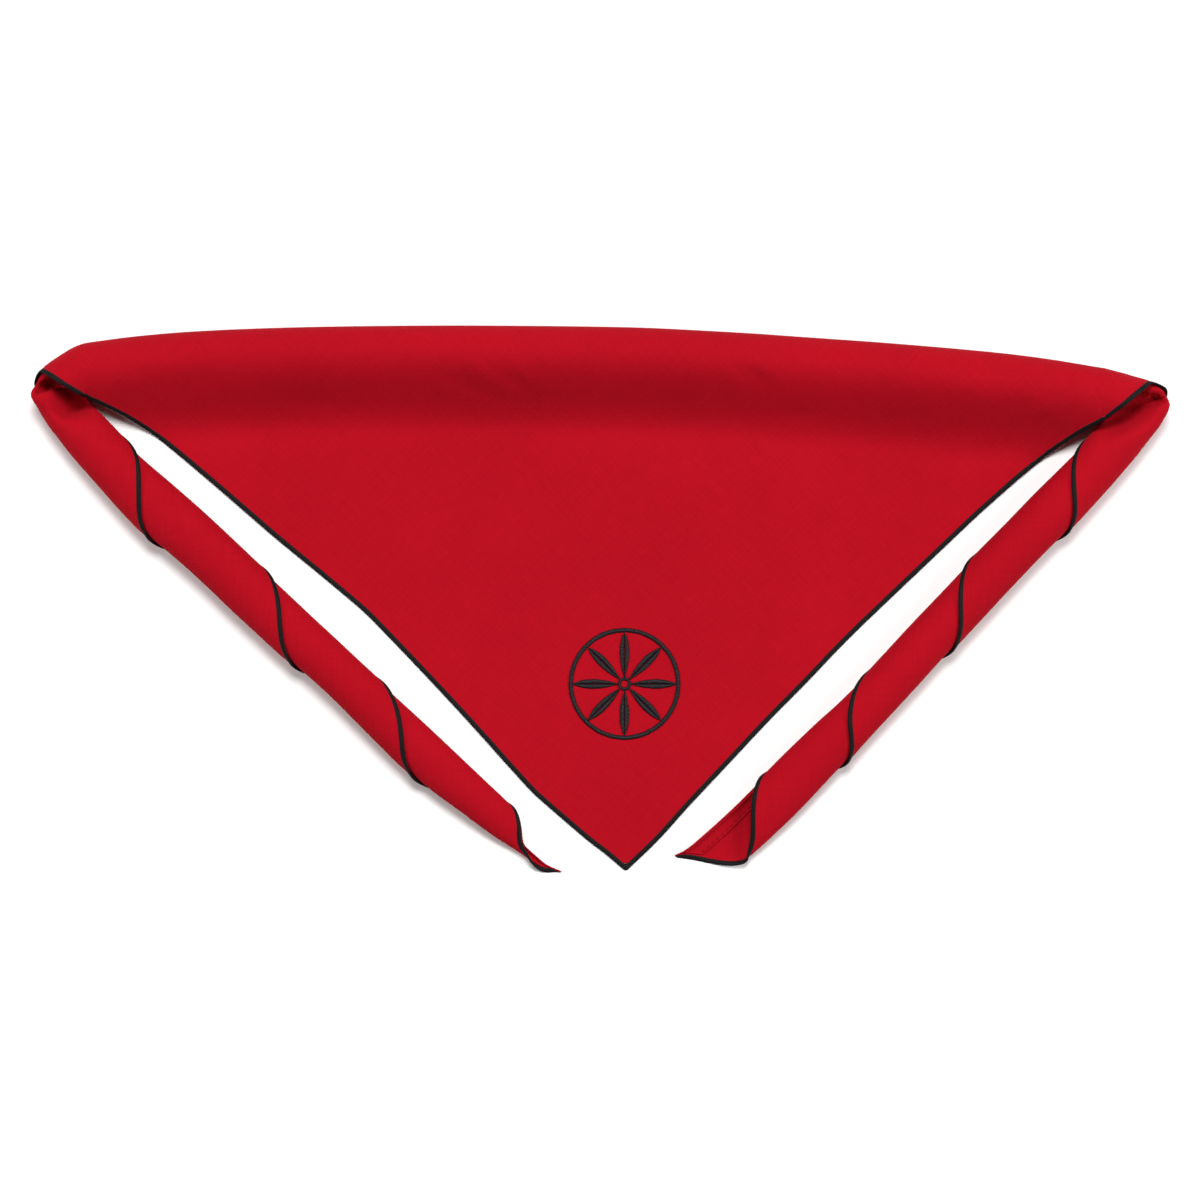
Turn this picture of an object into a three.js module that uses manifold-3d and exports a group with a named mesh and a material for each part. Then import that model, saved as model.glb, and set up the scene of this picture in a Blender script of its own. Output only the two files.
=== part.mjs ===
// A neckerchief: a triangle of plain-woven cotton, rolled up from its long edge towards the wrong side
// and laid out flat. The roll runs along the neck, folds back at both corners and goes on as two tails.
// The outermost turn of the neck leaves the roll at its crest and lies on the table as the back panel.
// Millimetres, +Z up. +X runs along the neck and +Y points from the panel's apex to the neck roll.
import * as THREE from "three";
import Module from "manifold-3d";

// Cloth and clearances
const WALL = 1.0; // thickness of the cloth
const TURN_GAP = 0.7; // air between one turn of a roll and the next
const SEAM_GAP = 0.3; // between two pieces that meet
const CREASE_RADIUS = 0.5; // inner radius of the fold at a corner

// Neck roll
const NECK_SPAN = 465; // from the left corner's crease to the right one's, along X
const NECK_FALL = 10.6; // how much lower in Y the right crease lies than the left one
const NECK_WIDTH = 25.8;
const NECK_HEIGHT = 22;
const NECK_BOW = 13.3; // how far the neck's outer side bows out from a straight line

// Back panel
const PANEL_DEPTH = 216; // from the left crease to the apex, along Y
const APEX_ACROSS = 246.5; // from the left crease to the apex, along X
const PANEL_RUN = 39; // length over which the panel comes down from the roll's crest to the table

// Tails
const LEFT_TAIL_LENGTH = 307.5; // from the crease to the tip
const RIGHT_TAIL_LENGTH = 279;
const TAIL_WIDTH = 23.9;
const TAIL_HEIGHT = 18;

// Edging, hem and embroidery
const EDGING_WIDTH = 2.5;
const EDGING_THICKNESS = 1.3;
const EDGING_CLEARANCE = 0.5; // between the edging and the cloth's edge
const EDGING_SIDES = 6;
const HEM_THICKNESS = 0.8;
const HEM_CLEARANCE = 0.5; // between the hem's folded cloth and the cloth it is turned on
const HEM_TIP_INSET = 7; // how far from the tip of the tail the hem starts
const ROSETTE_DIAMETER = 52;
const ROSETTE_THICKNESS = 0.8;
const ROSETTE_LINE = 2.4; // width of the stitched ring
const ROSETTE_EYE = 6.5; // diameter of the ring at the centre
const ROSETTE_EYE_HOLE = 3.25; // diameter of the hole in that ring
const ROSETTE_PETAL_ROOT = 2.6; // from the rosette's centre to where a petal starts
const ROSETTE_PETAL_WIDTH = 8.4;
const ROSETTE_PETALS = 8;
const ROSETTE_RISE = 85; // from the panel's apex up to the rosette's centre

// Turns are counted from the long edge, which lies at the inner side of the roll: a quarter of a turn
// on is the side on the table, a half is the outer side and three quarters is the top.
const CREST_TURNS = 4.75; // the neck roll's cloth up to its crest, where the panel leaves it
const MOUTH_TURNS = 5; // the outermost layer at a corner, which reaches the crease
const SHELL_TURNS = 4.5; // from here on the outermost layer stands off the tail beneath it
const STEPS_PER_TURN = 12;
const TURN_PITCH = WALL + TURN_GAP;
const FLOOR_GAP = (EDGING_THICKNESS - WALL) / 2; // the rolls lie on their edging

// Outer side of the neck roll: place between the creases, and rise as a share of NECK_BOW
const NECK_LINE = [
  { along: 0, rise: 0.05 },
  { along: 0.045, rise: 0.29 },
  { along: 0.1, rise: 0.5 },
  { along: 0.18, rise: 0.69 },
  { along: 0.28, rise: 0.84 },
  { along: 0.4, rise: 0.95 },
  { along: 0.53, rise: 1 },
  { along: 0.63, rise: 0.92 },
  { along: 0.72, rise: 0.78 },
  { along: 0.79, rise: 0.66 },
  { along: 0.9, rise: 0.41 },
  { along: 0.95, rise: 0.22 },
  { along: 1, rise: -0.05 },
];

// Edges of the panel, from a corner's crease to the apex: place and outward bow, as shares of the edge
const LEFT_LEG = [
  { along: 0, bow: 0 },
  { along: 0.056, bow: -0.0143 },
  { along: 0.115, bow: -0.0214 },
  { along: 0.182, bow: -0.0242 },
  { along: 0.309, bow: -0.028 },
  { along: 0.404, bow: -0.033 },
  { along: 0.48, bow: -0.034 },
  { along: 0.595, bow: -0.0258 },
  { along: 0.737, bow: -0.0069 },
  { along: 0.846, bow: 0.003 },
  { along: 0.93, bow: 0.002 },
  { along: 1, bow: 0 },
];
const RIGHT_LEG = [
  { along: 0, bow: 0 },
  { along: 0.09, bow: -0.0181 },
  { along: 0.196, bow: -0.027 },
  { along: 0.306, bow: -0.0293 },
  { along: 0.423, bow: -0.0261 },
  { along: 0.537, bow: -0.0239 },
  { along: 0.678, bow: -0.02 },
  { along: 0.768, bow: -0.0152 },
  { along: 0.858, bow: -0.0094 },
  { along: 0.95, bow: -0.002 },
  { along: 1, bow: 0 },
];

// Tail sections: place from the crease to the tip as a share of the tail's length, the inner and the
// outer side as shares of TAIL_WIDTH from the straight line between crease and tip, and the height as
// a share of TAIL_HEIGHT
const LEFT_SECTIONS = [
  { along: 0, inner: 0.02, outer: 0.93, height: 1 },
  { along: 0.04, inner: 0, outer: 1, height: 1 },
  { along: 0.105, inner: 0.02, outer: 0.99, height: 1 },
  { along: 0.25, inner: -0.08, outer: 0.96, height: 1 },
  { along: 0.374, inner: -0.14, outer: 0.9, height: 0.98 },
  { along: 0.47, inner: -0.145, outer: 0.858, height: 0.95 },
  { along: 0.56, inner: -0.14, outer: 0.8, height: 0.92 },
  { along: 0.65, inner: -0.145, outer: 0.745, height: 0.87 },
  { along: 0.77, inner: -0.205, outer: 0.615, height: 0.76 },
  { along: 0.83, inner: -0.24, outer: 0.525, height: 0.68 },
  { along: 0.865, inner: -0.26, outer: 0.44, height: 0.6 },
  { along: 0.9, inner: -0.15, outer: 0.34, height: 0.46 },
  { along: 0.936, inner: 0.05, outer: 0.25, height: 0.25 },
  { along: 0.972, inner: 0.06, outer: 0.21, height: 0.18 },
  { along: 1, inner: -0.05, outer: 0.05, height: 0.14 },
];
const RIGHT_SECTIONS = [
  { along: 0, inner: 0.02, outer: 0.96, height: 1 },
  { along: 0.06, inner: 0.02, outer: 1.03, height: 1 },
  { along: 0.15, inner: 0.04, outer: 1.03, height: 1 },
  { along: 0.31, inner: 0.07, outer: 0.99, height: 0.98 },
  { along: 0.46, inner: 0.1, outer: 0.99, height: 0.94 },
  { along: 0.58, inner: 0.135, outer: 1.01, height: 0.88 },
  { along: 0.68, inner: 0.14, outer: 1.01, height: 0.8 },
  { along: 0.8, inner: 0.115, outer: 1, height: 0.64 },
  { along: 0.87, inner: 0.1, outer: 0.98, height: 0.5 },
  { along: 0.91, inner: 0.08, outer: 0.967, height: 0.4 },
  { along: 0.937, inner: 0.06, outer: 0.95, height: 0.36 },
  { along: 0.967, inner: 0.03, outer: 0.6, height: 0.3 },
  { along: 0.985, inner: 0.01, outer: 0.33, height: 0.24 },
  { along: 1, inner: -0.04, outer: 0.07, height: 0.16 },
];

// Corner folds: direction from the crease in degrees, where 90 is the neck, and how far the fold
// reaches there as a share of NECK_WIDTH
const LEFT_REACH = [
  { degrees: -45, reach: 0.86 },
  { degrees: -31, reach: 0.857 },
  { degrees: -12, reach: 0.914 },
  { degrees: 6, reach: 1.06 },
  { degrees: 19, reach: 1.02 },
  { degrees: 33, reach: 0.955 },
  { degrees: 57, reach: 0.945 },
  { degrees: 90, reach: 1.025 },
];
const RIGHT_REACH = [
  { degrees: -45, reach: 0.89 },
  { degrees: -35, reach: 0.87 },
  { degrees: -20, reach: 0.915 },
  { degrees: 7, reach: 1.205 },
  { degrees: 16, reach: 1.285 },
  { degrees: 26, reach: 1.27 },
  { degrees: 40, reach: 1.135 },
  { degrees: 57, reach: 1.005 },
  { degrees: 90, reach: 0.97 },
];

// Where the cloth's slanting edge winds round a tail: turns, and the place as a share of its length
const LEFT_WRAPS = [
  { turns: 0, along: 1 },
  { turns: 0.5, along: 0.939 },
  { turns: 0.75, along: 0.906 },
  { turns: 1, along: 0.864 },
  { turns: 1.5, along: 0.737 },
  { turns: 1.75, along: 0.68 },
  { turns: 2, along: 0.602 },
  { turns: 2.5, along: 0.496 },
  { turns: 2.75, along: 0.438 },
  { turns: 3, along: 0.37 },
  { turns: 3.5, along: 0.212 },
  { turns: 3.75, along: 0.146 },
  { turns: 4, along: 0.078 },
];
const RIGHT_WRAPS = [
  { turns: 0, along: 1 },
  { turns: 0.5, along: 0.921 },
  { turns: 0.75, along: 0.871 },
  { turns: 1, along: 0.805 },
  { turns: 1.5, along: 0.693 },
  { turns: 1.75, along: 0.644 },
  { turns: 2, along: 0.564 },
  { turns: 2.5, along: 0.436 },
  { turns: 2.75, along: 0.38 },
  { turns: 3, along: 0.307 },
  { turns: 3.5, along: 0.152 },
  { turns: 3.75, along: 0.106 },
  { turns: 4, along: 0.041 },
];

// Where that edge crosses the top of a corner's fold: turns, and direction from the crease in degrees
const LEFT_MOUTH = [
  { turns: 4.5, degrees: 23 },
  { turns: 4.55, degrees: 31 },
  { turns: 4.75, degrees: 32.5 },
  { turns: 5, degrees: 33 },
];
const RIGHT_MOUTH = [
  { turns: 4.5, degrees: 27 },
  { turns: 4.55, degrees: 38 },
  { turns: 4.75, degrees: 40 },
  { turns: 5, degrees: 40.5 },
];

// Columns of the meshes, as shares: along the neck, along a tail, and round a corner's fold
const NECK_COLUMNS = [0, 0.06, 0.15, 0.27, 0.4, 0.53, 0.66, 0.79, 0.88, 0.95, 1];
const TAIL_COLUMNS = [0, 0.1, 0.25, 0.4, 0.56, 0.68, 0.8, 0.87, 0.92, 0.96];
const FOLD_COLUMNS = [0.14, 0.28, 0.42, 0.54, 0.68, 0.84, 1];
const RUN_ROWS = 5; // rows of the panel between the crest and the table
const RUN_SHARE = 0.75; // the most of a short column that those rows take
const FLAT_ROWS = 3; // rows of the panel on the table
const SWEEP_OFFSETS = [1 / 24, 1 / 8]; // turns before the shell, where the edge sweeps round a corner
const HEM_ROWS = [0, 1, 2, 2.5]; // steps round the roll, from the long edge to the hem's stitched side
const COLUMN_CLEARANCE = 1; // least distance from a slanting edge to the first column inside it
const EDGE_INSET = 2; // how far in from the edge the direction across it is taken
const SLOPE_STEPS = { along: 0.2, around: -0.01 }; // small steps that measure a rolled surface's slope
const RING_SEGMENTS = 22;
const EYE_SEGMENTS = 8;
const PETAL_SEGMENTS = 4;

const clothMaterial = new THREE.MeshStandardMaterial({
  color: 0xbe1123,
  roughness: 0.85,
  side: THREE.DoubleSide,
});
const edgingMaterial = new THREE.MeshStandardMaterial({ color: 0x1e1b1c, roughness: 0.6 });

// A smooth curve through a table's rows that never overshoots them, as a function.
function curveThrough(table, from, to) {
  const rows = [...table].sort((a, b) => a[from] - b[from]);
  const x = rows.map((row) => row[from]);
  const y = rows.map((row) => row[to]);
  const slope = x.slice(1).map((right, i) => (y[i + 1] - y[i]) / (right - x[i]));
  const tangent = x.map((_, i) => {
    if (i === 0) return slope[0];
    if (i === x.length - 1) return slope[i - 1];
    const [before, after] = [slope[i - 1], slope[i]];
    return before * after <= 0 ? 0 : (2 * before * after) / (before + after);
  });
  return (value) => {
    const at = THREE.MathUtils.clamp(value, x[0], x[x.length - 1]);
    let i = x.findIndex((right) => right >= at) - 1;
    i = Math.max(i, 0);
    const width = x[i + 1] - x[i];
    const t = (at - x[i]) / width;
    const rest = 1 - t;
    return (
      y[i] * (1 + 2 * t) * rest * rest +
      y[i + 1] * (3 - 2 * t) * t * t +
      width * t * rest * (tangent[i] * rest - tangent[i + 1] * t)
    );
  };
}

const smooth = (value) => THREE.MathUtils.smoothstep(value, 0, 1);
const leftCrease = new THREE.Vector2(0, 0);
const rightCrease = new THREE.Vector2(NECK_SPAN, -NECK_FALL);
const apex = new THREE.Vector2(APEX_ACROSS, -PANEL_DEPTH);
const neckRise = curveThrough(NECK_LINE, "along", "rise");

// The neck roll's middle line and crest at a place along X.
function neckMiddle(x) {
  const along = x / NECK_SPAN;
  return NECK_WIDTH / 2 + neckRise(along) * NECK_BOW - along * NECK_FALL;
}

// Height of the panel's upper face, and its slope, at a distance from the roll's crest.
function panelRise(distance) {
  const fall = FLOOR_GAP + NECK_HEIGHT - WALL;
  const t = THREE.MathUtils.clamp(distance / PANEL_RUN, 0, 1);
  return { height: WALL + fall * (1 - smooth(t)), slope: (-fall * 6 * t * (1 - t)) / PANEL_RUN };
}

// A point of the panel: crest is its place on the crest line, down the unit direction away from it.
function panelPoint(crest, down, distance, depth) {
  const { height, slope } = panelRise(distance);
  const tilt = Math.atan(slope);
  const shift = distance + depth * Math.sin(tilt);
  return new THREE.Vector3(
    crest.x + down.x * shift,
    crest.y + down.y * shift,
    height - depth * Math.cos(tilt),
  );
}

// A point of a rolled layer. The section gives the roll's inner and outer side and its height, turns
// says how far the cloth is wound there, depth how far in from the roll's outside the point is, and
// lift how much higher than the section its top stands.
function rolledPoint(section, turns, depth, lift = 0) {
  const angle = Math.PI + turns * 2 * Math.PI;
  const middle = section.inner.clone().add(section.outer).multiplyScalar(0.5);
  const across = section.outer.clone().sub(section.inner);
  const halfWidth = across.length() / 2 - depth;
  const halfHeight = section.height / 2 + lift - depth;
  const place = middle.add(across.setLength(halfWidth * Math.cos(angle)));
  const height = FLOOR_GAP + section.height / 2 + halfHeight * Math.sin(angle);
  return new THREE.Vector3(place.x, place.y, height);
}

// One tail with the fold at its corner, in a frame that has its origin at the corner's crease. Places
// are lengths from the tip: along the tail first, and then along the middle of the fold.
class Tail {
  constructor({ side, length, sections, reach, wraps, mouth }) {
    this.side = side;
    this.length = length;
    this.inner = curveThrough(sections, "along", "inner");
    this.outer = curveThrough(sections, "along", "outer");
    this.height = curveThrough(sections, "along", "height");
    this.reach = curveThrough(reach, "degrees", "reach");
    this.tailDegrees = reach[0].degrees;
    this.mouthDegrees = mouth[mouth.length - 1].degrees;
    this.millimetresPerDegree = ((NECK_WIDTH / 2) * Math.PI) / 180;
    this.end = this.placeInFold(90);
    const edge = [
      ...wraps.map(({ turns, along }) => ({ turns, place: (1 - along) * length })),
      ...mouth.map(({ turns, degrees }) => ({ turns, place: this.placeInFold(degrees) })),
    ];
    this.edgePlace = curveThrough(edge, "turns", "place");
    this.turnsAt = curveThrough(edge, "place", "turns");
  }

  placeInFold(degrees) {
    return this.length + (degrees - this.tailDegrees) * this.millimetresPerDegree;
  }

  // The direction from the crease out through the roll, at an angle where 90 degrees is the neck's.
  outward(degrees) {
    const angle = THREE.MathUtils.degToRad(degrees);
    return new THREE.Vector2(this.side * Math.cos(angle), Math.sin(angle));
  }

  degreesAt(place) {
    return this.tailDegrees + (place - this.length) / this.millimetresPerDegree;
  }

  section(place) {
    if (place > this.length) {
      const degrees = this.degreesAt(place);
      const outward = this.outward(degrees);
      const rise = smooth((degrees - this.mouthDegrees) / (90 - this.mouthDegrees));
      return {
        inner: outward.clone().multiplyScalar(CREASE_RADIUS),
        outer: outward.clone().multiplyScalar(this.reach(degrees) * NECK_WIDTH),
        height: THREE.MathUtils.lerp(TAIL_HEIGHT, NECK_HEIGHT, rise),
      };
    }
    const along = 1 - place / this.length;
    const outward = this.outward(this.tailDegrees);
    const onward = this.outward(this.tailDegrees - 90);
    const start = onward.multiplyScalar(along * this.length);
    return {
      inner: start.clone().addScaledVector(outward, this.inner(along) * TAIL_WIDTH),
      outer: start.clone().addScaledVector(outward, this.outer(along) * TAIL_WIDTH),
      height: this.height(along) * TAIL_HEIGHT,
    };
  }

  // A point of the cloth at a place and a number of turns, at a depth below its outer face.
  point(place, turns, depth) {
    const section = this.section(place);
    if (turns > CREST_TURNS) {
      const share = (turns - CREST_TURNS) / (MOUTH_TURNS - CREST_TURNS);
      const across = section.inner.clone().sub(section.outer);
      const crest = section.inner.clone().add(section.outer).multiplyScalar(0.5);
      return panelPoint(crest, across.clone().normalize(), (share * across.length()) / 2, depth);
    }
    const lift = turns > SHELL_TURNS ? NECK_HEIGHT - section.height : 0;
    const buried = Math.max(0, Math.min(this.turnsAt(place), CREST_TURNS) - turns);
    return rolledPoint(section, turns, buried * TURN_PITCH + depth, lift);
  }

  columns() {
    const tail = TAIL_COLUMNS.map((along) => (1 - along) * this.length);
    const fold = FOLD_COLUMNS.map((share) => this.length + share * (this.end - this.length));
    return [...tail, ...fold].sort((a, b) => a - b);
  }
}

const leftTail = new Tail({
  side: -1,
  length: LEFT_TAIL_LENGTH,
  sections: LEFT_SECTIONS,
  reach: LEFT_REACH,
  wraps: LEFT_WRAPS,
  mouth: LEFT_MOUTH,
});
const rightTail = new Tail({
  side: 1,
  length: RIGHT_TAIL_LENGTH,
  sections: RIGHT_SECTIONS,
  reach: RIGHT_REACH,
  wraps: RIGHT_WRAPS,
  mouth: RIGHT_MOUTH,
});

// A closed sheet from rows of nodes. A node has its place along the row and its point on the cloth's
// outer and inner face. Rows may start at different places, as they do along a slanting edge.
function sheetGeometry(rows, flip) {
  const points = [];
  const numbered = rows.map((row) =>
    row.map(({ place, outer, inner }) => {
      points.push(outer, inner);
      return { place, outer: points.length - 2, inner: points.length - 1 };
    }),
  );
  const triangles = [];
  const addTriangle = (a, b, c) => triangles.push(...(flip ? [a, c, b] : [a, b, c]));
  const addFace = (a, b, c) => {
    addTriangle(a.outer, b.outer, c.outer);
    addTriangle(a.inner, c.inner, b.inner);
  };
  for (let k = 1; k < numbered.length; k += 1) {
    const [lower, upper] = [numbered[k - 1], numbered[k]];
    let [i, j] = [0, 0];
    while (i < lower.length - 1 || j < upper.length - 1) {
      const lowerNext = i < lower.length - 1 ? lower[i + 1].place : Infinity;
      const upperNext = j < upper.length - 1 ? upper[j + 1].place : Infinity;
      if (lowerNext <= upperNext) {
        addFace(lower[i], lower[i + 1], upper[j]);
        i += 1;
      } else {
        addFace(lower[i], upper[j + 1], upper[j]);
        j += 1;
      }
    }
  }
  const rim = [
    ...numbered[0],
    ...numbered.slice(1, -1).map((row) => row[row.length - 1]),
    ...[...numbered[numbered.length - 1]].reverse(),
    ...numbered.slice(1, -1).map((row) => row[0]).reverse(),
  ];
  rim.forEach((here, i) => {
    const next = rim[(i + 1) % rim.length];
    addTriangle(here.outer, here.inner, next.inner);
    addTriangle(here.outer, next.inner, next.outer);
  });
  return geometryOf(points, triangles);
}

function geometryOf(points, triangles) {
  const geometry = new THREE.BufferGeometry().setFromPoints(points);
  geometry.setIndex(triangles);
  geometry.computeVertexNormals();
  return geometry;
}

// Turns at the rows of a tail's cloth, with two more where its edge sweeps round the corner.
const tailRows = Array.from({ length: MOUTH_TURNS * STEPS_PER_TURN + 1 }, (_, step) => step / STEPS_PER_TURN);
tailRows.push(...SWEEP_OFFSETS.map((offset) => SHELL_TURNS - offset));
tailRows.sort((a, b) => a - b);

// The spiral between the tail's tip and the neck, cut on the slant by the cloth's edge.
function tailGeometry(tail) {
  const columns = tail.columns();
  const rows = tailRows.map((turns) => {
    const start = tail.edgePlace(turns);
    const places = [start, ...columns.filter((place) => place > start + COLUMN_CLEARANCE)];
    return places.map((place) => ({
      place,
      outer: tail.point(place, turns, 0),
      inner: tail.point(place, turns, WALL),
    }));
  });
  return sheetGeometry(rows, tail.side < 0);
}

// The spiral between the two corners, up to its crest.
function neckGeometry() {
  const rows = [];
  const places = NECK_COLUMNS.map((share) => THREE.MathUtils.lerp(SEAM_GAP, NECK_SPAN - SEAM_GAP, share));
  for (let step = 0; step <= CREST_TURNS * STEPS_PER_TURN; step += 1) {
    const turns = step / STEPS_PER_TURN;
    const depth = (CREST_TURNS - turns) * TURN_PITCH;
    rows.push(
      places.map((x) => {
        const section = {
          inner: new THREE.Vector2(x, neckMiddle(x) - NECK_WIDTH / 2),
          outer: new THREE.Vector2(x, neckMiddle(x) + NECK_WIDTH / 2),
          height: NECK_HEIGHT,
        };
        return {
          place: x,
          outer: rolledPoint(section, turns, depth),
          inner: rolledPoint(section, turns, depth + WALL),
        };
      }),
    );
  }
  return sheetGeometry(rows, true);
}

// Points of the panel's slanting edge, from a corner's crease to the apex.
function legPoints(crease, side, table) {
  const line = apex.clone().sub(crease);
  const outward = new THREE.Vector2(-line.y * side, line.x * side);
  return table.map(({ along, bow }) =>
    crease.clone().addScaledVector(line, along).addScaledVector(outward, bow),
  );
}

const leftLeg = legPoints(leftCrease, -1, LEFT_LEG);
const rightLeg = legPoints(rightCrease, 1, RIGHT_LEG);
const DOWN = new THREE.Vector2(0, -1);

// A point of the panel straight below a place on the crest line.
function panelPointBelow(x, distance, depth) {
  return panelPoint(new THREE.Vector2(x, neckMiddle(x)), DOWN, distance, depth);
}

// Distances from the crest of the panel's rows, in a column of the given length.
function panelRows(length) {
  const run = Math.min(PANEL_RUN, RUN_SHARE * length);
  const rows = [];
  for (let i = 0; i <= RUN_ROWS; i += 1) rows.push(THREE.MathUtils.lerp(SEAM_GAP, run, i / RUN_ROWS));
  for (let i = 1; i <= FLAT_ROWS; i += 1) rows.push(THREE.MathUtils.lerp(run, length, i / FLAT_ROWS));
  return rows;
}

function panelGeometry() {
  const edge = [...leftLeg, ...[...rightLeg].reverse().slice(1)];
  const columns = edge.map(({ x, y }) => {
    const place = THREE.MathUtils.clamp(x, SEAM_GAP, NECK_SPAN - SEAM_GAP);
    return { place, distances: panelRows(neckMiddle(place) - y) };
  });
  const rows = columns[0].distances.map((_, k) =>
    columns.map(({ place, distances }) => ({
      place,
      outer: panelPointBelow(place, distances[k], 0),
      inner: panelPointBelow(place, distances[k], WALL),
    })),
  );
  return sheetGeometry(rows, true);
}

// The hem on the wrong side of the right tail, along the long edge.
function hemGeometry(tail) {
  const depth = WALL + HEM_CLEARANCE;
  const columns = tail.columns().filter((place) => place < tail.length);
  const rows = HEM_ROWS.map((step) => {
    const turns = step / STEPS_PER_TURN;
    const start = Math.max(tail.edgePlace(turns) + EDGING_WIDTH, HEM_TIP_INSET);
    const places = [start, ...columns.filter((place) => place > start + COLUMN_CLEARANCE)];
    return places.map((place) => ({
      place,
      outer: tail.point(place, turns, depth),
      inner: tail.point(place, turns, depth + HEM_THICKNESS),
    }));
  });
  return sheetGeometry(rows, tail.side < 0);
}

// The overlocked thread along one slanting edge, from the apex over the corner to the tail's tip.
// Each row has a point in the middle of the cloth's edge, one a little way in from it, and the point
// where the cloth would be if it went on past its edge by a given step.
function edgingPath(tail, crease, leg) {
  const path = [];
  [...leg].reverse().slice(0, -1).forEach(({ x, y }) => {
    const distance = neckMiddle(x) - y;
    const edge = panelPointBelow(x, distance, WALL / 2);
    const inside = panelPointBelow(x, distance - EDGE_INSET, WALL / 2);
    path.push({ edge, inside, past: (step) => edge.clone().add(step) });
  });
  const origin = new THREE.Vector3(crease.x, crease.y, 0);
  for (const turns of [...tailRows].reverse()) {
    const place = tail.edgePlace(turns);
    const pointAt = (along, around) => tail.point(place + along, turns + around, WALL / 2).add(origin);
    const edge = pointAt(0, 0);
    const past = (step) =>
      turns > CREST_TURNS ? edge.clone().add(step) : pointAt(...stepOnSurface(pointAt, step));
    path.push({ edge, inside: pointAt(EDGE_INSET, 0), past });
  }
  return path;
}

// The change in a surface's two parameters that moves its point by a given small step.
function stepOnSurface(pointAt, step) {
  const here = pointAt(0, 0);
  const along = pointAt(SLOPE_STEPS.along, 0).sub(here);
  const around = pointAt(0, SLOPE_STEPS.around).sub(here);
  const [aa, ab, bb] = [along.dot(along), along.dot(around), around.dot(around)];
  const [sa, sb] = [step.dot(along), step.dot(around)];
  const size = aa * bb - ab * ab;
  return [
    ((sa * bb - sb * ab) / size) * SLOPE_STEPS.along,
    ((sb * aa - sa * ab) / size) * SLOPE_STEPS.around,
  ];
}

function edgingGeometry(path) {
  const sides = EDGING_SIDES;
  const points = [];
  const triangles = [];
  path.forEach(({ edge, inside, past }, i) => {
    const before = path[Math.max(i - 1, 0)].edge;
    const after = path[Math.min(i + 1, path.length - 1)].edge;
    const along = after.clone().sub(before).normalize();
    const out = edge.clone().sub(inside);
    out.addScaledVector(along, -out.dot(along)).normalize();
    const normal = along.clone().cross(out);
    const centre = past(out.clone().setLength(EDGING_CLEARANCE + EDGING_WIDTH / 2));
    centre.z = Math.max(centre.z, EDGING_THICKNESS / 2);
    for (let side = 0; side < sides; side += 1) {
      const angle = (side / sides) * 2 * Math.PI;
      const point = centre
        .clone()
        .addScaledVector(out, (Math.cos(angle) * EDGING_WIDTH) / 2)
        .addScaledVector(normal, (Math.sin(angle) * EDGING_THICKNESS) / 2);
      point.z = Math.max(point.z, 0);
      points.push(point);
    }
  });
  for (let i = 0; i < path.length - 1; i += 1) {
    for (let side = 0; side < sides; side += 1) {
      const next = (side + 1) % sides;
      const [a, b] = [i * sides + side, i * sides + next];
      triangles.push(a, b, b + sides);
      triangles.push(a, b + sides, a + sides);
    }
  }
  const last = (path.length - 1) * sides;
  for (let side = 1; side < sides - 1; side += 1) {
    triangles.push(0, side + 1, side);
    triangles.push(last, last + side, last + side + 1);
  }
  return geometryOf(points, triangles);
}

// The embroidered rosette: a ring, a small ring at its centre and plain petals between them.
async function rosetteGeometry() {
  const wasm = await Module();
  wasm.setup();
  const solidOf = (shape, curveSegments) => {
    const extruded = new THREE.ExtrudeGeometry(shape, {
      depth: ROSETTE_THICKNESS,
      bevelEnabled: false,
      curveSegments,
    });
    const positions = extruded.getAttribute("position");
    const keys = new Map();
    const vertices = [];
    const triVerts = [];
    for (let i = 0; i < positions.count; i += 1) {
      const point = [positions.getX(i), positions.getY(i), positions.getZ(i)];
      const key = point.map((value) => Math.round(value * 1e4)).join(",");
      if (!keys.has(key)) {
        keys.set(key, vertices.length / 3);
        vertices.push(...point);
      }
      triVerts.push(keys.get(key));
    }
    return new wasm.Manifold(
      new wasm.Mesh({
        numProp: 3,
        vertProperties: new Float32Array(vertices),
        triVerts: new Uint32Array(triVerts),
      }),
    );
  };
  const ring = (outerRadius, innerRadius) => {
    const shape = new THREE.Shape().absarc(0, 0, outerRadius, 0, 2 * Math.PI, false);
    shape.holes.push(new THREE.Path().absarc(0, 0, innerRadius, 0, 2 * Math.PI, true));
    return shape;
  };
  const radius = ROSETTE_DIAMETER / 2;
  let rosette = solidOf(ring(radius, radius - ROSETTE_LINE), RING_SEGMENTS);
  rosette = rosette.add(solidOf(ring(ROSETTE_EYE / 2, ROSETTE_EYE_HOLE / 2), EYE_SEGMENTS));
  const [root, tip] = [ROSETTE_PETAL_ROOT, radius - ROSETTE_LINE / 2];
  const middle = (root + tip) / 2;
  for (let petal = 0; petal < ROSETTE_PETALS; petal += 1) {
    const turn = (petal / ROSETTE_PETALS) * 2 * Math.PI;
    const shape = new THREE.Shape();
    shape.moveTo(root, 0);
    shape.quadraticCurveTo(middle, ROSETTE_PETAL_WIDTH, tip, 0);
    shape.quadraticCurveTo(middle, -ROSETTE_PETAL_WIDTH, root, 0);
    const petalSolid = solidOf(shape, PETAL_SEGMENTS).rotate([0, 0, THREE.MathUtils.radToDeg(turn)]);
    rosette = rosette.add(petalSolid);
  }
  const mesh = rosette.getMesh();
  const geometry = new THREE.BufferGeometry();
  geometry.setAttribute("position", new THREE.BufferAttribute(mesh.vertProperties, mesh.numProp));
  geometry.setIndex(new THREE.BufferAttribute(mesh.triVerts, 1));
  geometry.computeVertexNormals();
  return geometry;
}

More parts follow.
